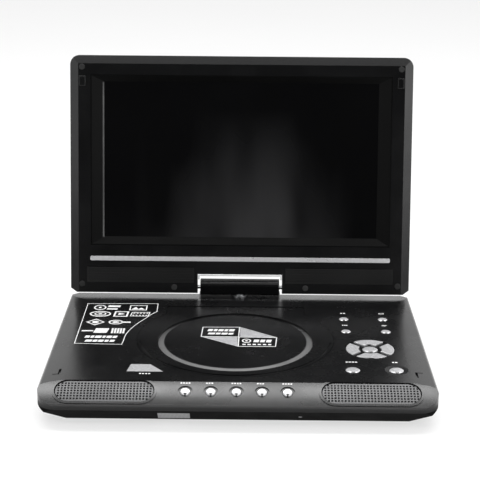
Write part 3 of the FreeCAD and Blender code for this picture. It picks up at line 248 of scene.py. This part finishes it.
def mesh_panel_look(name):
    """Punched panel of the display: dull face, and pits painted black as painted shade, told apart by their depth
    in the lid.
    """
    finish = Finish(name, Specular_IOR_Level=0.25)
    _, y, z = finish.axes()
    level = finish.product(finish.maths("SUBTRACT", y, TILT.y), math.cos(LEAN))
    upright = finish.product(finish.maths("SUBTRACT", z, TILT.z), math.sin(LEAN))
    depth = finish.maths("SUBTRACT", level, upright)
    # painted shade: the pits are painted near black
    pit_shade = finish.span(depth, LID_FRONT + 0.2 * MM, LID_FRONT + 0.3 * MM)
    face = finish.mix(finish.span(finish.noise(12.0, 3.0), 0.35, 0.65), 0.006, 0.011)
    finish.colour(finish.mix(pit_shade, face, 0.0002))
    finish.roughness(finish.span(finish.noise(26.0, 5.0), 0.35, 0.7, 0.3, 0.42))
    finish.grain(0.00002)
    return finish.material


def edged(name):
    """Dull dark frame with a lighter line painted as a highlight where it meets the glass at its left."""
    finish = Finish(name, Specular_IOR_Level=0.06)
    x, _, z = finish.axes()
    # painted highlight: noise breaks up the lighter line painted along the glass's left edge
    highlight_breakup = finish.span(finish.noise(30.0, 3.0), 0.3, 0.6, 0.35, 1.0)
    edge = 0.5 * MM
    line = finish.product(
        finish.span(x, SCREEN_LEFT - 3 * edge, SCREEN_LEFT - 1.4 * edge),
        finish.span(x, SCREEN_LEFT + edge, SCREEN_LEFT + 0.2 * edge),
        finish.span(z, SCREEN_FOOT - edge, SCREEN_FOOT + edge),
        finish.span(z, SCREEN_HEAD + edge, SCREEN_HEAD - edge), highlight_breakup)
    finish.colour(finish.mix(line, finish.mix(finish.noise(20.0), 0.0015, 0.003), 0.11))
    finish.roughness(finish.span(finish.noise(26.0, 5.0), 0.35, 0.7, 0.3, 0.42))
    finish.grain(0.00002)
    return finish.material


def circuit(name):
    """Green solder mask with copper runs under it."""
    finish = Finish(name, roughness=0.35, Coat_Weight=0.3)
    x, y, _ = finish.axes()
    runs = []
    for axis, scale in ((x, 900.0), (y, 700.0)):
        wobble = finish.maths("MULTIPLY_ADD", finish.noise(60.0, 1.0), 0.02, axis)
        runs.append(finish.maths("SINE", finish.maths("MULTIPLY", wobble, scale)))
    track = finish.span(finish.maths("MAXIMUM", runs[0], runs[1]), 0.72, 0.86)
    finish.colour(finish.mix(track, (0.006, 0.05, 0.018), (0.03, 0.13, 0.05)))
    finish.bump(track, 0.00003, 0.4)
    return finish.material


def lens(name, tint, ring_scale):
    """Coated glass or a translucent cap with faint rings."""
    finish = Finish(name, roughness=0.08, Coat_Weight=0.6)
    cover = finish.noise(ring_scale, 2.0)
    finish.colour(finish.mix(finish.span(cover, 0.3, 0.7), tint, tuple(1.8 * part for part in tint)))
    return finish.material


def netted(name, dark, light, pitch):
    """Translucent cap with a fine moulded grid behind its face."""
    finish = Finish(name, roughness=0.3, Specular_IOR_Level=0.4)
    x, _, z = finish.axes()
    lines = [finish.maths("SINE", finish.maths("MULTIPLY", axis, 2 * math.pi / pitch)) for axis in (x, z)]
    net = finish.span(finish.maths("MAXIMUM", lines[0], lines[1]), 0.2, 0.9)
    finish.colour(finish.mix(net, dark, light))
    finish.bump(net, 0.00004, 0.3)
    return finish.material


def matt_case(name):
    """Matt, fine-grained plastic with hardly any gloss."""
    finish = Finish(name, IOR=1.06, Specular_IOR_Level=0.4)
    finish.colour(finish.mix(finish.span(finish.noise(14.0, 4.0), 0.35, 0.65), 0.0045, 0.0075))
    finish.roughness(finish.span(finish.noise(60.0, 3.0), 0.3, 0.7, 0.45, 0.6))
    finish.grain(0.00002, 1600.0)
    return finish.material


def deck_look(name, dark, light):
    """Glossy deck and slope; the upright walls below the slope are rougher."""
    finish = Finish(name, Specular_IOR_Level=0.5)
    finish.colour(finish.flow(dark, light))
    wall = finish.span(finish.axes()[2], WALL_TOP, WALL_TOP - 3 * MM)
    finish.roughness(finish.maths("MULTIPLY_ADD", wall, 0.5, finish.smudge(0.22, 0.32)))
    finish.grain(0.000012)
    return finish.material


def door_look(name, dark, light):
    """Glossy door whose channel round the middle is rougher and painted lighter grey as a painted reflection,
    fading towards the hinge.
    """
    finish = Finish(name, Specular_IOR_Level=0.5)
    x, y, _ = finish.axes()
    across = finish.maths("SUBTRACT", x, DISC.x)
    deep = finish.maths("SUBTRACT", y, DISC.y - CHANNEL_FORWARD)
    square = finish.maths("ADD", finish.product(across, across), finish.product(deep, deep))
    radius = finish.maths("POWER", square, 0.5)
    # painted reflection: the channel is painted lighter grey, fading towards the hinge
    reflection_band = finish.product(
        finish.span(radius, CHANNEL_INNER, CHANNEL_INNER + 0.8 * MM),
        finish.span(radius, CHANNEL_OUTER, CHANNEL_OUTER - 0.6 * MM),
        finish.span(deep, 42 * MM, -5 * MM))
    reflection_grey = finish.mix(finish.span(finish.noise(40.0, 3.0), 0.3, 0.7), 0.09, 0.13)
    finish.colour(finish.mix(reflection_band, finish.flow(dark, light), reflection_grey))
    finish.roughness(finish.maths("MULTIPLY_ADD", reflection_band, 0.12, finish.smudge(0.2, 0.3)))
    finish.grain(0.000012)
    return finish.material


BLACK_DARK, BLACK_LIGHT = (0.0016, 0.0016, 0.0018), (0.0032, 0.0033, 0.0036)

FINISHES = {
    "shell_plastic": deck_look("shell_plastic_look", BLACK_DARK, BLACK_LIGHT),
    "case_plastic": matt_case("case_plastic_look"),
    "window_plastic": netted("window_plastic_look", (0.06, 0.06, 0.06), (0.3, 0.3, 0.31), 0.0009),
    "rubber": moulded("rubber_look", (0.012, 0.012, 0.012), (0.02, 0.02, 0.02), 0.65, 0.85, 0.3),
    "screw_steel": metal("screw_steel_look", (0.09, 0.09, 0.095), (0.16, 0.16, 0.165), 0.3, 0.45),
    "inner_plastic": moulded("inner_plastic_look", (0.011, 0.011, 0.012), (0.018, 0.018, 0.019), 0.4, 0.55),
    "sheet_steel": metal("sheet_steel_look", (0.42, 0.43, 0.44), (0.56, 0.57, 0.58), 0.3, 0.45, (1, 14, 1)),
    "bright_steel": metal("bright_steel_look", (0.6, 0.61, 0.62), (0.72, 0.73, 0.74), 0.12, 0.2, (9, 1, 1)),
    "motor_steel": metal("motor_steel_look", (0.36, 0.36, 0.37), (0.5, 0.5, 0.51), 0.28, 0.4, (1, 1, 12)),
    "circuit_board": circuit("circuit_board_look"),
    "battery_wrap": moulded("battery_wrap_look", (0.01, 0.03, 0.09), (0.02, 0.05, 0.13), 0.3, 0.4),
    "speaker_black": moulded("speaker_black_look", (0.008, 0.008, 0.008), (0.014, 0.014, 0.014), 0.6, 0.75),
    "grille_plastic": moulded("grille_plastic_look", (0.045, 0.045, 0.047), (0.07, 0.07, 0.072), 0.32, 0.45,
                              grain=0.00003),
    "jack_plastic": moulded("jack_plastic_look", (0.01, 0.01, 0.01), (0.016, 0.016, 0.016), 0.35, 0.5),
    "port_metal": metal("port_metal_look", (0.5, 0.5, 0.5), (0.64, 0.64, 0.63), 0.22, 0.34, (1, 6, 1)),
    "bearing_plastic": moulded("bearing_plastic_look", (0.5, 0.49, 0.45), (0.6, 0.59, 0.55), 0.4, 0.5),
    "hub_plastic": moulded("hub_plastic_look", (0.012, 0.012, 0.013), (0.02, 0.02, 0.021), 0.3, 0.42),
    "lens_glass": lens("lens_glass_look", (0.03, 0.04, 0.16), 500.0),
    "door_plastic": door_look("door_plastic_look", BLACK_DARK, BLACK_LIGHT),
    "silver_key": key_look("silver_key_look", (0.46, 0.46, 0.47), (0.6, 0.6, 0.61), 0.0),
    "hinge_plastic": moulded("hinge_plastic_look", BLACK_DARK, BLACK_LIGHT, 0.18, 0.28, 0.2),
    "bezel_plastic": moulded("bezel_plastic_look", BLACK_DARK, BLACK_LIGHT, 0.18, 0.28, 0.3, 0.000015),
    "cover_plastic": moulded("cover_plastic_look", BLACK_DARK, BLACK_LIGHT, 0.12, 0.22, 0.5, 0.000012, 0.2),
    "surround_plastic": edged("surround_plastic_look"),
    "screen_glass": screen_glass("screen_glass_look"),
    "chrome_trim": metal("chrome_trim_look", (0.86, 0.86, 0.87), (0.93, 0.93, 0.94), 0.2, 0.3, (6, 1, 1),
                         400.0, 0.3),
    "silver_strip": metal("silver_strip_look", (0.54, 0.54, 0.55), (0.64, 0.64, 0.65), 0.25, 0.35, (8, 1, 1),
                          500.0, 0.4),
}
MESH_LOOK = mesh_panel_look("mesh_panel_look")
SILVER_INK = printed("silver_ink_look", (0.55, 0.55, 0.55), (0.78, 0.78, 0.78))
HATCH_INK = hatched("hatch_ink_look", (0.12, 0.12, 0.13), (0.5, 0.5, 0.51), 0.0011)
LAMP = lens("lamp_look", (0.02, 0.02, 0.022), 300.0)

# painted light: the front keys get a lighter copy of the silver key finish, the same plating painted brighter on
# the front slope
LIT_FRONT_KEY_LOOK = key_look("lit_front_key_look", (0.66, 0.66, 0.67), (0.78, 0.78, 0.79), -0.43)

for part in frame["record"]["subparts"]:
    mesh = NODES[part["node"]].data
    mesh.materials.clear()
    in_front = part["node"] in FRONT_KEYS
    mesh.materials.append(LIT_FRONT_KEY_LOOK if in_front else FINISHES[part["material_slot"]])


# ---- mesh helpers -----------------------------------------------------------------------------------

def finish_piece(name, mesh, material, body):
    mesh.materials.append(material)
    piece = bpy.data.objects.new(name, mesh)
    bpy.context.scene.collection.objects.link(piece)
    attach(piece, body)
    return piece


class Surface:
    """The faces of some CAD nodes, to lay printed marks and small pieces on."""

    def __init__(self, *names):
        points, faces = [], []
        for name in names:
            mesh = NODES[name].data
            first = len(points)
            points += [vertex.co.copy() for vertex in mesh.vertices]
            faces += [[first + index for index in polygon.vertices] for polygon in mesh.polygons]
        self.tree = BVHTree.FromPolygons(points, faces)

    def at(self, x, y, lift):
        place, normal, _, _ = self.tree.ray_cast(Vector((x, y, 0.08)), Vector((0, 0, -1)))
        return place + (normal if normal.z > 0 else -normal) * lift


class Print:
    """Thin closed slabs laid on a surface.

    In mm: x from the middle of the player, y from the disc's centre.
    """

    def __init__(self, surface, thickness=0.06):
        self.surface = surface
        self.mesh = bmesh.new()
        self.top, self.bottom = thickness * MM, -0.02 * MM

    def slab(self, rows, closed=False):
        """rows: equal lists of (x, y) points across the shape; closed joins the last row to the first."""
        layers = []
        for lift in (self.bottom, self.top):
            layers.append([[self.mesh.verts.new(self.surface.at(x * MM, DISC.y + y * MM, lift))
                            for x, y in row] for row in rows])
        low, high = layers
        pairs = list(range(len(rows) - 1)) + ([-1] if closed else [])
        for i in pairs:
            for j in range(len(rows[0]) - 1):
                self.mesh.faces.new((high[i][j], high[i + 1][j], high[i + 1][j + 1], high[i][j + 1]))
                self.mesh.faces.new((low[i][j], low[i][j + 1], low[i + 1][j + 1], low[i + 1][j]))
            for j in (0, -1):
                self.mesh.faces.new((low[i][j], low[i + 1][j], high[i + 1][j], high[i][j]))
        if not closed:
            for i in (0, -1):
                for j in range(len(rows[0]) - 1):
                    self.mesh.faces.new((low[i][j], low[i][j + 1], high[i][j + 1], high[i][j]))

    def line(self, points, width, closed=False, step=4.0):
        """A stroke of even width along a chain of points, with mitred corners."""
        chain = [Vector(point) for point in points]
        dense = []
        count = len(chain) if closed else len(chain) - 1
        for i in range(count):
            start, end = chain[i], chain[(i + 1) % len(chain)]
            parts = max(1, int((end - start).length / step))
            dense += [start.lerp(end, k / parts) for k in range(parts)]
        if not closed:
            dense.append(chain[-1])
        rows = []
        for i, point in enumerate(dense):
            before = dense[i - 1] if i or closed else point
            after = dense[(i + 1) % len(dense)] if i < len(dense) - 1 or closed else point
            into, out = point - before, after - point
            if not into.length:
                into = out
            if not out.length:
                out = into
            into, out = into.normalized(), out.normalized()
            side = Vector((-into.y - out.y, into.x + out.x)).normalized()
            reach = width / 2 / max(0.35, side.dot(Vector((-into.y, into.x))))
            rows.append([tuple(point + side * reach), tuple(point - side * reach)])
        self.slab(rows, closed)

    def quad(self, a, b, c, d, step=4.0):
        """A filled four-sided patch, corners in order round it."""
        a, b, c, d = (Vector(corner) for corner in (a, b, c, d))
        rows = max(1, int(max((b - a).length, (c - d).length) / step))
        columns = max(1, int(max((d - a).length, (c - b).length) / step))
        self.slab([[tuple(a.lerp(b, i / rows).lerp(d.lerp(c, i / rows), j / columns))
                    for j in range(columns + 1)] for i in range(rows + 1)])

    def bar(self, x0, x1, y0, y1, slant=0.0):
        self.quad((x0, y0), (x1, y0), (x1 + slant, y1), (x0 + slant, y1))

    def strokes(self, x, y0, y1, spans, slant=0.8):
        """A row of slanted bars, each given by its start from x and its length."""
        for start, length in spans:
            self.bar(x + start, x + start + length, y0, y1, slant)

    def frame(self, x0, x1, y0, y1, width=0.5, slant=0.0):
        self.line([(x0, y0), (x1, y0), (x1 + slant, y1), (x0 + slant, y1)], width, closed=True)

    def ring(self, x, y, across, up, width=0.5, turns=24):
        angles = [2 * math.pi * k / turns for k in range(turns)]
        points = [(x + across * math.cos(angle), y + up * math.sin(angle)) for angle in angles]
        self.line(points, width, closed=True, step=99.0)

    def blob(self, x, y, across, up, parts=10):
        """A filled oval."""
        rows = []
        for k in range(parts + 1):
            angle = math.pi * (k + 0.12) / (parts + 0.24) - math.pi / 2
            reach = across * math.cos(angle)
            rows.append([(x - reach, y + up * math.sin(angle)), (x + reach, y + up * math.sin(angle))])
        self.slab(rows)

    def triangle(self, a, b, c):
        near = Vector(c) + (Vector(b) - Vector(c)) * 0.04
        self.quad(a, b, tuple(near), c)

    def done(self, name, material, body):
        bmesh.ops.recalc_face_normals(self.mesh, faces=self.mesh.faces)
        mesh = bpy.data.meshes.new(name)
        self.mesh.to_mesh(mesh)
        self.mesh.free()
        return finish_piece(name, mesh, material, body)


# ---- printed marks ----------------------------------------------------------------------------------

def format_label(surface):
    """Outlined panel of generic pictograms at the left of the disc door."""
    ink = Print(surface)
    hollow = [(-63.2, 52.7), (-67.4, 46), (-70.6, 38.5), (-74.9, 30), (-78.3, 21.6), (-81, 13.5),
              (-82.8, 5.3), (-83.4, -1.6), (-83.6, -8.5), (-84.2, -14.9)]
    ink.line([(-118, 68.9), (-118.3, -13.6)] + hollow[::-1] + [(-63.5, 70.2)], 0.55, closed=True, step=3.0)
    # disc with two bars
    ink.ring(-107.6, 60.5, 4.2, 4.8, 1.1)
    ink.blob(-107.6, 60.5, 1.2, 1.5)
    ink.bar(-101.8, -92.4, 61.6, 65.2, 0.5)
    ink.bar(-102.3, -94.2, 56.2, 58.8, 0.5)
    # picture with a hill
    ink.frame(-84.3, -71.7, 55.6, 65.4, 0.9)
    ink.triangle((-83, 57), (-77.6, 57), (-80, 62.6))
    ink.triangle((-78.6, 57), (-73, 57), (-75.6, 60.8))
    # loudspeaker rings
    ink.ring(-106, 46.6, 7.6, 5.2, 1.2)
    ink.ring(-106, 46.6, 4.1, 2.9, 0.9)
    ink.blob(-106, 46.6, 1.5, 1.2)
    # picture that plays
    ink.frame(-95.2, -85.6, 41.8, 51.6, 1.3, 0.6)
    ink.triangle((-92.4, 44.4), (-87.2, 46.8), (-92.1, 49.2))
    # film strip
    ink.frame(-82.8, -69.4, 42.4, 50.8, 0.7, 0.9)
    for k in range(5):
        ink.bar(-81.4 + 2.5 * k, -80 + 2.5 * k, 43.6, 45.1)
        ink.bar(-81 + 2.5 * k, -79.6 + 2.5 * k, 48.1, 49.6)
    # lozenge
    ink.line([(-114.2, 29.2), (-107.8, 23.2), (-101.6, 29.2), (-107.8, 35.2)], 1.1, closed=True)
    ink.blob(-107.8, 29.2, 2.5, 2.5)
    # memory stick
    ink.ring(-92.6, 29.4, 4.9, 3.9, 1.2)
    ink.blob(-92.6, 29.4, 2.6, 1.9)
    ink.bar(-87.4, -81.4, 28.3, 30.6)
    # player with a lead
    ink.bar(-116, -107.6, 10.2, 12.2)
    ink.bar(-107.2, -97.4, 7.4, 16.4, 1.3)
    # card with contacts
    for k in range(5):
        ink.bar(-94.2 + 2.1 * k, -92.8 + 2.1 * k, 6.8, 16.6)
    # two lines of strokes
    ink.strokes(-112.6, -2.6, 1.6, ((0, 3.4), (4.2, 2.4), (7.4, 4.6), (12.8, 2.2), (15.8, 3.8), (20.4, 3)))
    ink.strokes(-111.6, -10.2, -6.4, ((0, 4.8), (5.6, 3), (9.4, 3.8), (14.2, 2.6), (17.8, 3.4)))
    return ink.done("format_label", SILVER_INK, "base")


def door_label(surface):
    """Two outlined boxes and two hatched wedges in the middle of the door."""
    ink = Print(surface)
    ink.line([(-26.8, 20.9), (-27.6, 2.1), (-0.2, 2), (0.4, 21.4)], 0.7, closed=True)
    ink.line([(0, 1.5), (-0.4, -16.5), (26.4, -16.2), (27.6, 1.2)], 0.7, closed=True)
    ink.line([(0.4, 21.4), (27.6, 1.2)], 0.5)
    ink.line([(-27.6, 2.1), (-0.4, -16.5)], 0.5)
    ink.strokes(-23.4, 12.8, 17, ((0, 3.6), (4.4, 2.6), (7.8, 3.8), (12.4, 2.4), (15.6, 4)), 0.9)
    ink.strokes(-23, 6.4, 9.8, ((0, 5), (5.8, 3.2), (9.8, 4.4), (15, 3.4)))
    ink.ring(5.6, -5.6, 2.9, 3.3, 1)
    ink.blob(5.6, -5.6, 0.9, 1.1)
    ink.strokes(10.4, -8.2, -3.2, ((0, 3.8), (4.8, 3.4), (9.2, 3.6)))
    for k in range(6):
        ink.bar(2.6 + 3.7 * k, 5 + 3.7 * k, -13.6, -11.6)
    outline = ink.done("door_label_lines", SILVER_INK, "door")
    hatch = Print(surface, 0.04)
    hatch.triangle((0.9, 20.1), (1, 2.2), (26, 1.6))
    hatch.triangle((-26, 1.6), (-1, 1.2), (-0.9, -15.6))
    return [outline, hatch.done("door_label_wedges", HATCH_INK, "door")]


def key_marks(surface):
    """Small generic signs behind the keys and above the front buttons."""
    ink = Print(surface, 0.05)

    def spot(node):
        place = middle(node)
        return place.x / MM, (place.y - DISC.y) / MM

    for kind, node in enumerate(SMALL_KEYS):
        x, y = spot(node)
        y += 11.6
        if kind == 0:
            ink.bar(x - 1.9, x - 0.4, y - 0.8, y + 0.8)
            ink.bar(x + 0.4, x + 1.9, y - 0.8, y + 0.8)
        elif kind == 1:
            ink.frame(x - 1.7, x + 1.7, y - 0.9, y + 0.9, 0.5)
        elif kind == 2:
            for k in range(3):
                ink.bar(x - 2.1 + 1.5 * k, x - 1.1 + 1.5 * k, y - 0.8, y + 0.8)
        else:
            ink.bar(x - 2, x + 2, y + 0.3, y + 0.9)
            ink.bar(x - 2, x + 1, y - 0.9, y - 0.3)
    for kind, node in enumerate(LOWER_KEYS):
        x, y = spot(node)
        y += 13.4
        ink.bar(x - 4 + 2.2 * kind, x - 2.6 + 2.2 * kind, y - 0.8, y + 0.8)
        ink.bar(x - 2 + 2.2 * kind, x - 0.2 + 2.2 * kind, y - 0.8, y + 0.8)
        if not kind:
            ink.bar(x + 0.4, x + 1.8, y - 0.8, y + 0.8)
            ink.bar(x + 2.4, x + 4, y - 0.8, y + 0.8)
    x, y = spot("open_button")
    for k in range(4):
        ink.bar(x - 4.2 + 2.1 * k, x - 2.8 + 2.1 * k, y - 10, y - 8.6)
    for kind, node in enumerate(FRONT_KEYS):
        x, y = spot(node)
        y += 5.6
        for k in range(4 - kind % 2):
            ink.bar(x - 3.4 + 1.8 * k, x - 2.2 + 1.8 * k, y - 0.5, y + 0.5)
    return ink.done("key_marks", SILVER_INK, "base")


def printing():
    deck = Surface("base_top_shell")
    door = Surface("disc_door")
    format_label(deck)
    door_label(door)
    key_marks(deck)


# ---- perforated panels of the display ---------------------------------------------------------------

def perforated_panel(name, x_low, x_high, z_low, z_high, pitch=2.15, radius=0.55, depth=0.5, sides=8):
    """A plate that fills a recess of the display, with rows of round pits. Local mm, face towards -y."""
    columns, rows = int((x_high - x_low) / pitch), int((z_high - z_low) / pitch)
    x0 = (x_low + x_high - columns * pitch) / 2
    z0 = (z_low + z_high - rows * pitch) / 2
    face, back = LID_FRONT / MM + 0.15, LID_FRONT / MM + 0.85
    mesh = bmesh.new()
    corners = {}

    def corner(i, j):
        if (i, j) not in corners:
            x = x_low if i == 0 else x_high if i == columns else x0 + i * pitch
            z = z_low if j == 0 else z_high if j == rows else z0 + j * pitch
            corners[i, j] = mesh.verts.new((x, face, z))
        return corners[i, j]

    for i in range(columns):
        for j in range(rows):
            x, z = x0 + (i + 0.5) * pitch, z0 + (j + 0.5) * pitch
            square = [corner(i, j), corner(i + 1, j), corner(i + 1, j + 1), corner(i, j + 1)]
            turns = [2 * math.pi * (k - sides * 0.375) / sides for k in range(sides)]
            lip, floor = [[mesh.verts.new((x + radius * math.cos(turn), level, z + radius * math.sin(turn)))
                           for turn in turns] for level in (face, face + depth)]
            mesh.faces.new(floor)
            for k in range(sides):
                after = (k + 1) % sides
                mesh.faces.new((lip[k], lip[after], floor[after], floor[k]))
                if k % 2:
                    mesh.faces.new((square[(k + 1) // 2 % 4], lip[after], lip[k]))
                else:
                    mesh.faces.new((square[k // 2], square[(k // 2 + 1) % 4], lip[after], lip[k]))
    outline = [edge for edge in mesh.edges if edge.is_boundary]
    skirt = bmesh.ops.extrude_edge_only(mesh, edges=outline)["geom"]
    rear = [item for item in skirt if isinstance(item, bmesh.types.BMVert)]
    for vertex in rear:
        vertex.co.y = back
    bmesh.ops.holes_fill(mesh, edges=[edge for edge in mesh.edges if edge.is_boundary])
    bmesh.ops.scale(mesh, vec=(MM, MM, MM), verts=mesh.verts)
    bmesh.ops.transform(mesh, matrix=LID_FRAME, verts=mesh.verts)
    bmesh.ops.recalc_face_normals(mesh, faces=mesh.faces)
    made = bpy.data.meshes.new(name)
    mesh.to_mesh(made)
    mesh.free()
    return finish_piece(name, made, MESH_LOOK, "display")


def lamp():
    """Charge lamp in the lower front wall: a small domed cap in a ring."""
    low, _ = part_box("base_bottom_case")
    tree = Surface("base_bottom_case").tree
    place, normal, _, _ = tree.ray_cast(Vector((41.7 * MM, low.y - 0.05, 7 * MM)), Vector((0, 1, 0)))
    mesh = bmesh.new()
    profile = [(1.25, -0.3), (1.25, 0.1), (1.1, 0.22), (0.95, 0.12), (0.9, 0.0), (0.75, 0.14),
               (0.45, 0.24), (0, 0.28)]
    for radius, rise in profile:
        mesh.verts.new((radius * MM, 0, rise * MM))
    chain = list(mesh.verts)
    for ends in zip(chain[:-1], chain[1:]):
        mesh.edges.new(ends)
    bmesh.ops.spin(mesh, geom=list(mesh.edges) + chain, cent=(0, 0, 0), axis=(0, 0, 1), steps=28,
                   angle=2 * math.pi)
    bmesh.ops.remove_doubles(mesh, verts=mesh.verts, dist=1e-7)
    bmesh.ops.holes_fill(mesh, edges=[edge for edge in mesh.edges if edge.is_boundary])
    bmesh.ops.recalc_face_normals(mesh, faces=mesh.faces)
    turn = Vector((0, 0, 1)).rotation_difference(normal).to_matrix().to_4x4()
    bmesh.ops.transform(mesh, matrix=Matrix.Translation(place) @ turn, verts=mesh.verts)
    made = bpy.data.meshes.new("charge_lamp")
    mesh.to_mesh(made)
    mesh.free()
    for polygon in made.polygons:
        polygon.use_smooth = True
    return finish_piece("charge_lamp", made, LAMP, "base")


printing()
for side, name in ((-1, "left_mesh_panel"), (1, "right_mesh_panel")):
    left, right = sorted(side * reach for reach in MESH_PLATE[:2])
    perforated_panel(name, left, right, *MESH_PLATE[2:])
lamp()


# ---- studio -----------------------------------------------------------------------------------------

def studio():
    mesh = bpy.data.meshes.new("studio_floor")
    mesh.from_pydata([(-6, -6, 0), (6, -6, 0), (6, 6, 0), (-6, 6, 0)], [], [(0, 1, 2, 3)])
    floor = bpy.data.objects.new("studio_floor", mesh)
    bpy.context.scene.collection.objects.link(floor)
    finish = Finish("floor_look", roughness=0.8, Specular_IOR_Level=0.05, Emission_Strength=0.62)
    finish.colour(finish.mix(finish.noise(3.0, 2.0), 0.3, 0.31))
    finish.shader.inputs["Emission Color"].default_value = (1, 1, 1, 1)
    mesh.materials.append(finish.material)

    world = bpy.data.worlds.new("studio")
    bpy.context.scene.world = world
    world.use_nodes = True
    tree = world.node_tree
    tree.nodes.clear()
    way = tree.nodes.new("ShaderNodeTexCoord")
    split = tree.nodes.new("ShaderNodeSeparateXYZ")
    tree.links.new(way.outputs["Generated"], split.inputs[0])
    depth = tree.nodes.new("ShaderNodeMapRange")
    depth.interpolation_type = "SMOOTHSTEP"
    depth.inputs["From Min"].default_value = -0.75
    depth.inputs["From Max"].default_value = 0.2
    depth.inputs["To Min"].default_value = 0.1
    depth.inputs["To Max"].default_value = 1.0
    tree.links.new(split.outputs["Y"], depth.inputs["Value"])
    soft = tree.nodes.new("ShaderNodeBackground")
    tree.links.new(depth.outputs["Result"], soft.inputs["Strength"])
    plain = tree.nodes.new("ShaderNodeBackground")
    plain.inputs["Strength"].default_value = 1.0
    for background in (soft, plain):
        background.inputs["Color"].default_value = (1, 1, 1, 1)
    seen = tree.nodes.new("ShaderNodeLightPath")
    mix = tree.nodes.new("ShaderNodeMixShader")
    tree.links.new(seen.outputs["Is Camera Ray"], mix.inputs[0])
    tree.links.new(soft.outputs[0], mix.inputs[1])
    tree.links.new(plain.outputs[0], mix.inputs[2])
    out = tree.nodes.new("ShaderNodeOutputWorld")
    tree.links.new(mix.outputs[0], out.inputs["Surface"])


def softbox(name, place, aim, width, height, radiance):
    """Area light of a given brightness, turned to a point."""
    light = bpy.data.lights.new(name, "AREA")
    light.shape = "RECTANGLE"
    light.size, light.size_y = width, height
    light.energy = radiance * math.pi * width * height
    lamp_object = bpy.data.objects.new(name, light)
    lamp_object.location = place
    lamp_object.rotation_euler = (Vector(aim) - Vector(place)).to_track_quat("-Z", "Y").to_euler()
    bpy.context.scene.collection.objects.link(lamp_object)


studio()
softbox("rear_top", (0, 0.4, 1.6), (0, -0.1, 0.03), 2.4, 0.42, 9.0)
softbox("left_front", (-1.05, -1.15, 0.75), (0, 0, 0.1), 0.8, 1.2, 2.2)
softbox("right_front", (1.05, -1.15, 0.75), (0, 0, 0.1), 0.8, 1.2, 4.0)
softbox("front_top", (0, -1.2, 1.9), (0, 0, 0.05), 1.6, 0.7, 3.0)


# ---- camera -----------------------------------------------------------------------------------------

def camera():
    pitch, yaw, roll = math.radians(17.5), math.radians(-0.22), math.radians(0.48)
    ahead = Vector((math.sin(yaw) * math.cos(pitch), math.cos(yaw) * math.cos(pitch), -math.sin(pitch)))
    right = Vector((math.cos(yaw), -math.sin(yaw), 0))
    up = right.cross(ahead)
    across = math.cos(roll) * right + math.sin(roll) * up
    upward = math.cos(roll) * up - math.sin(roll) * right
    data = bpy.data.cameras.new("photo_camera")
    data.lens, data.sensor_width = 99.9, 36.0
    eye = bpy.data.objects.new("photo_camera", data)
    turn = Matrix((across, upward, -ahead)).transposed().to_4x4()
    eye.matrix_world = Matrix.Translation((0.0037, -0.9239, 0.3863)) @ turn
    bpy.context.scene.collection.objects.link(eye)
    bpy.context.scene.camera = eye


camera()
bpy.context.scene.view_settings.view_transform = "Standard"
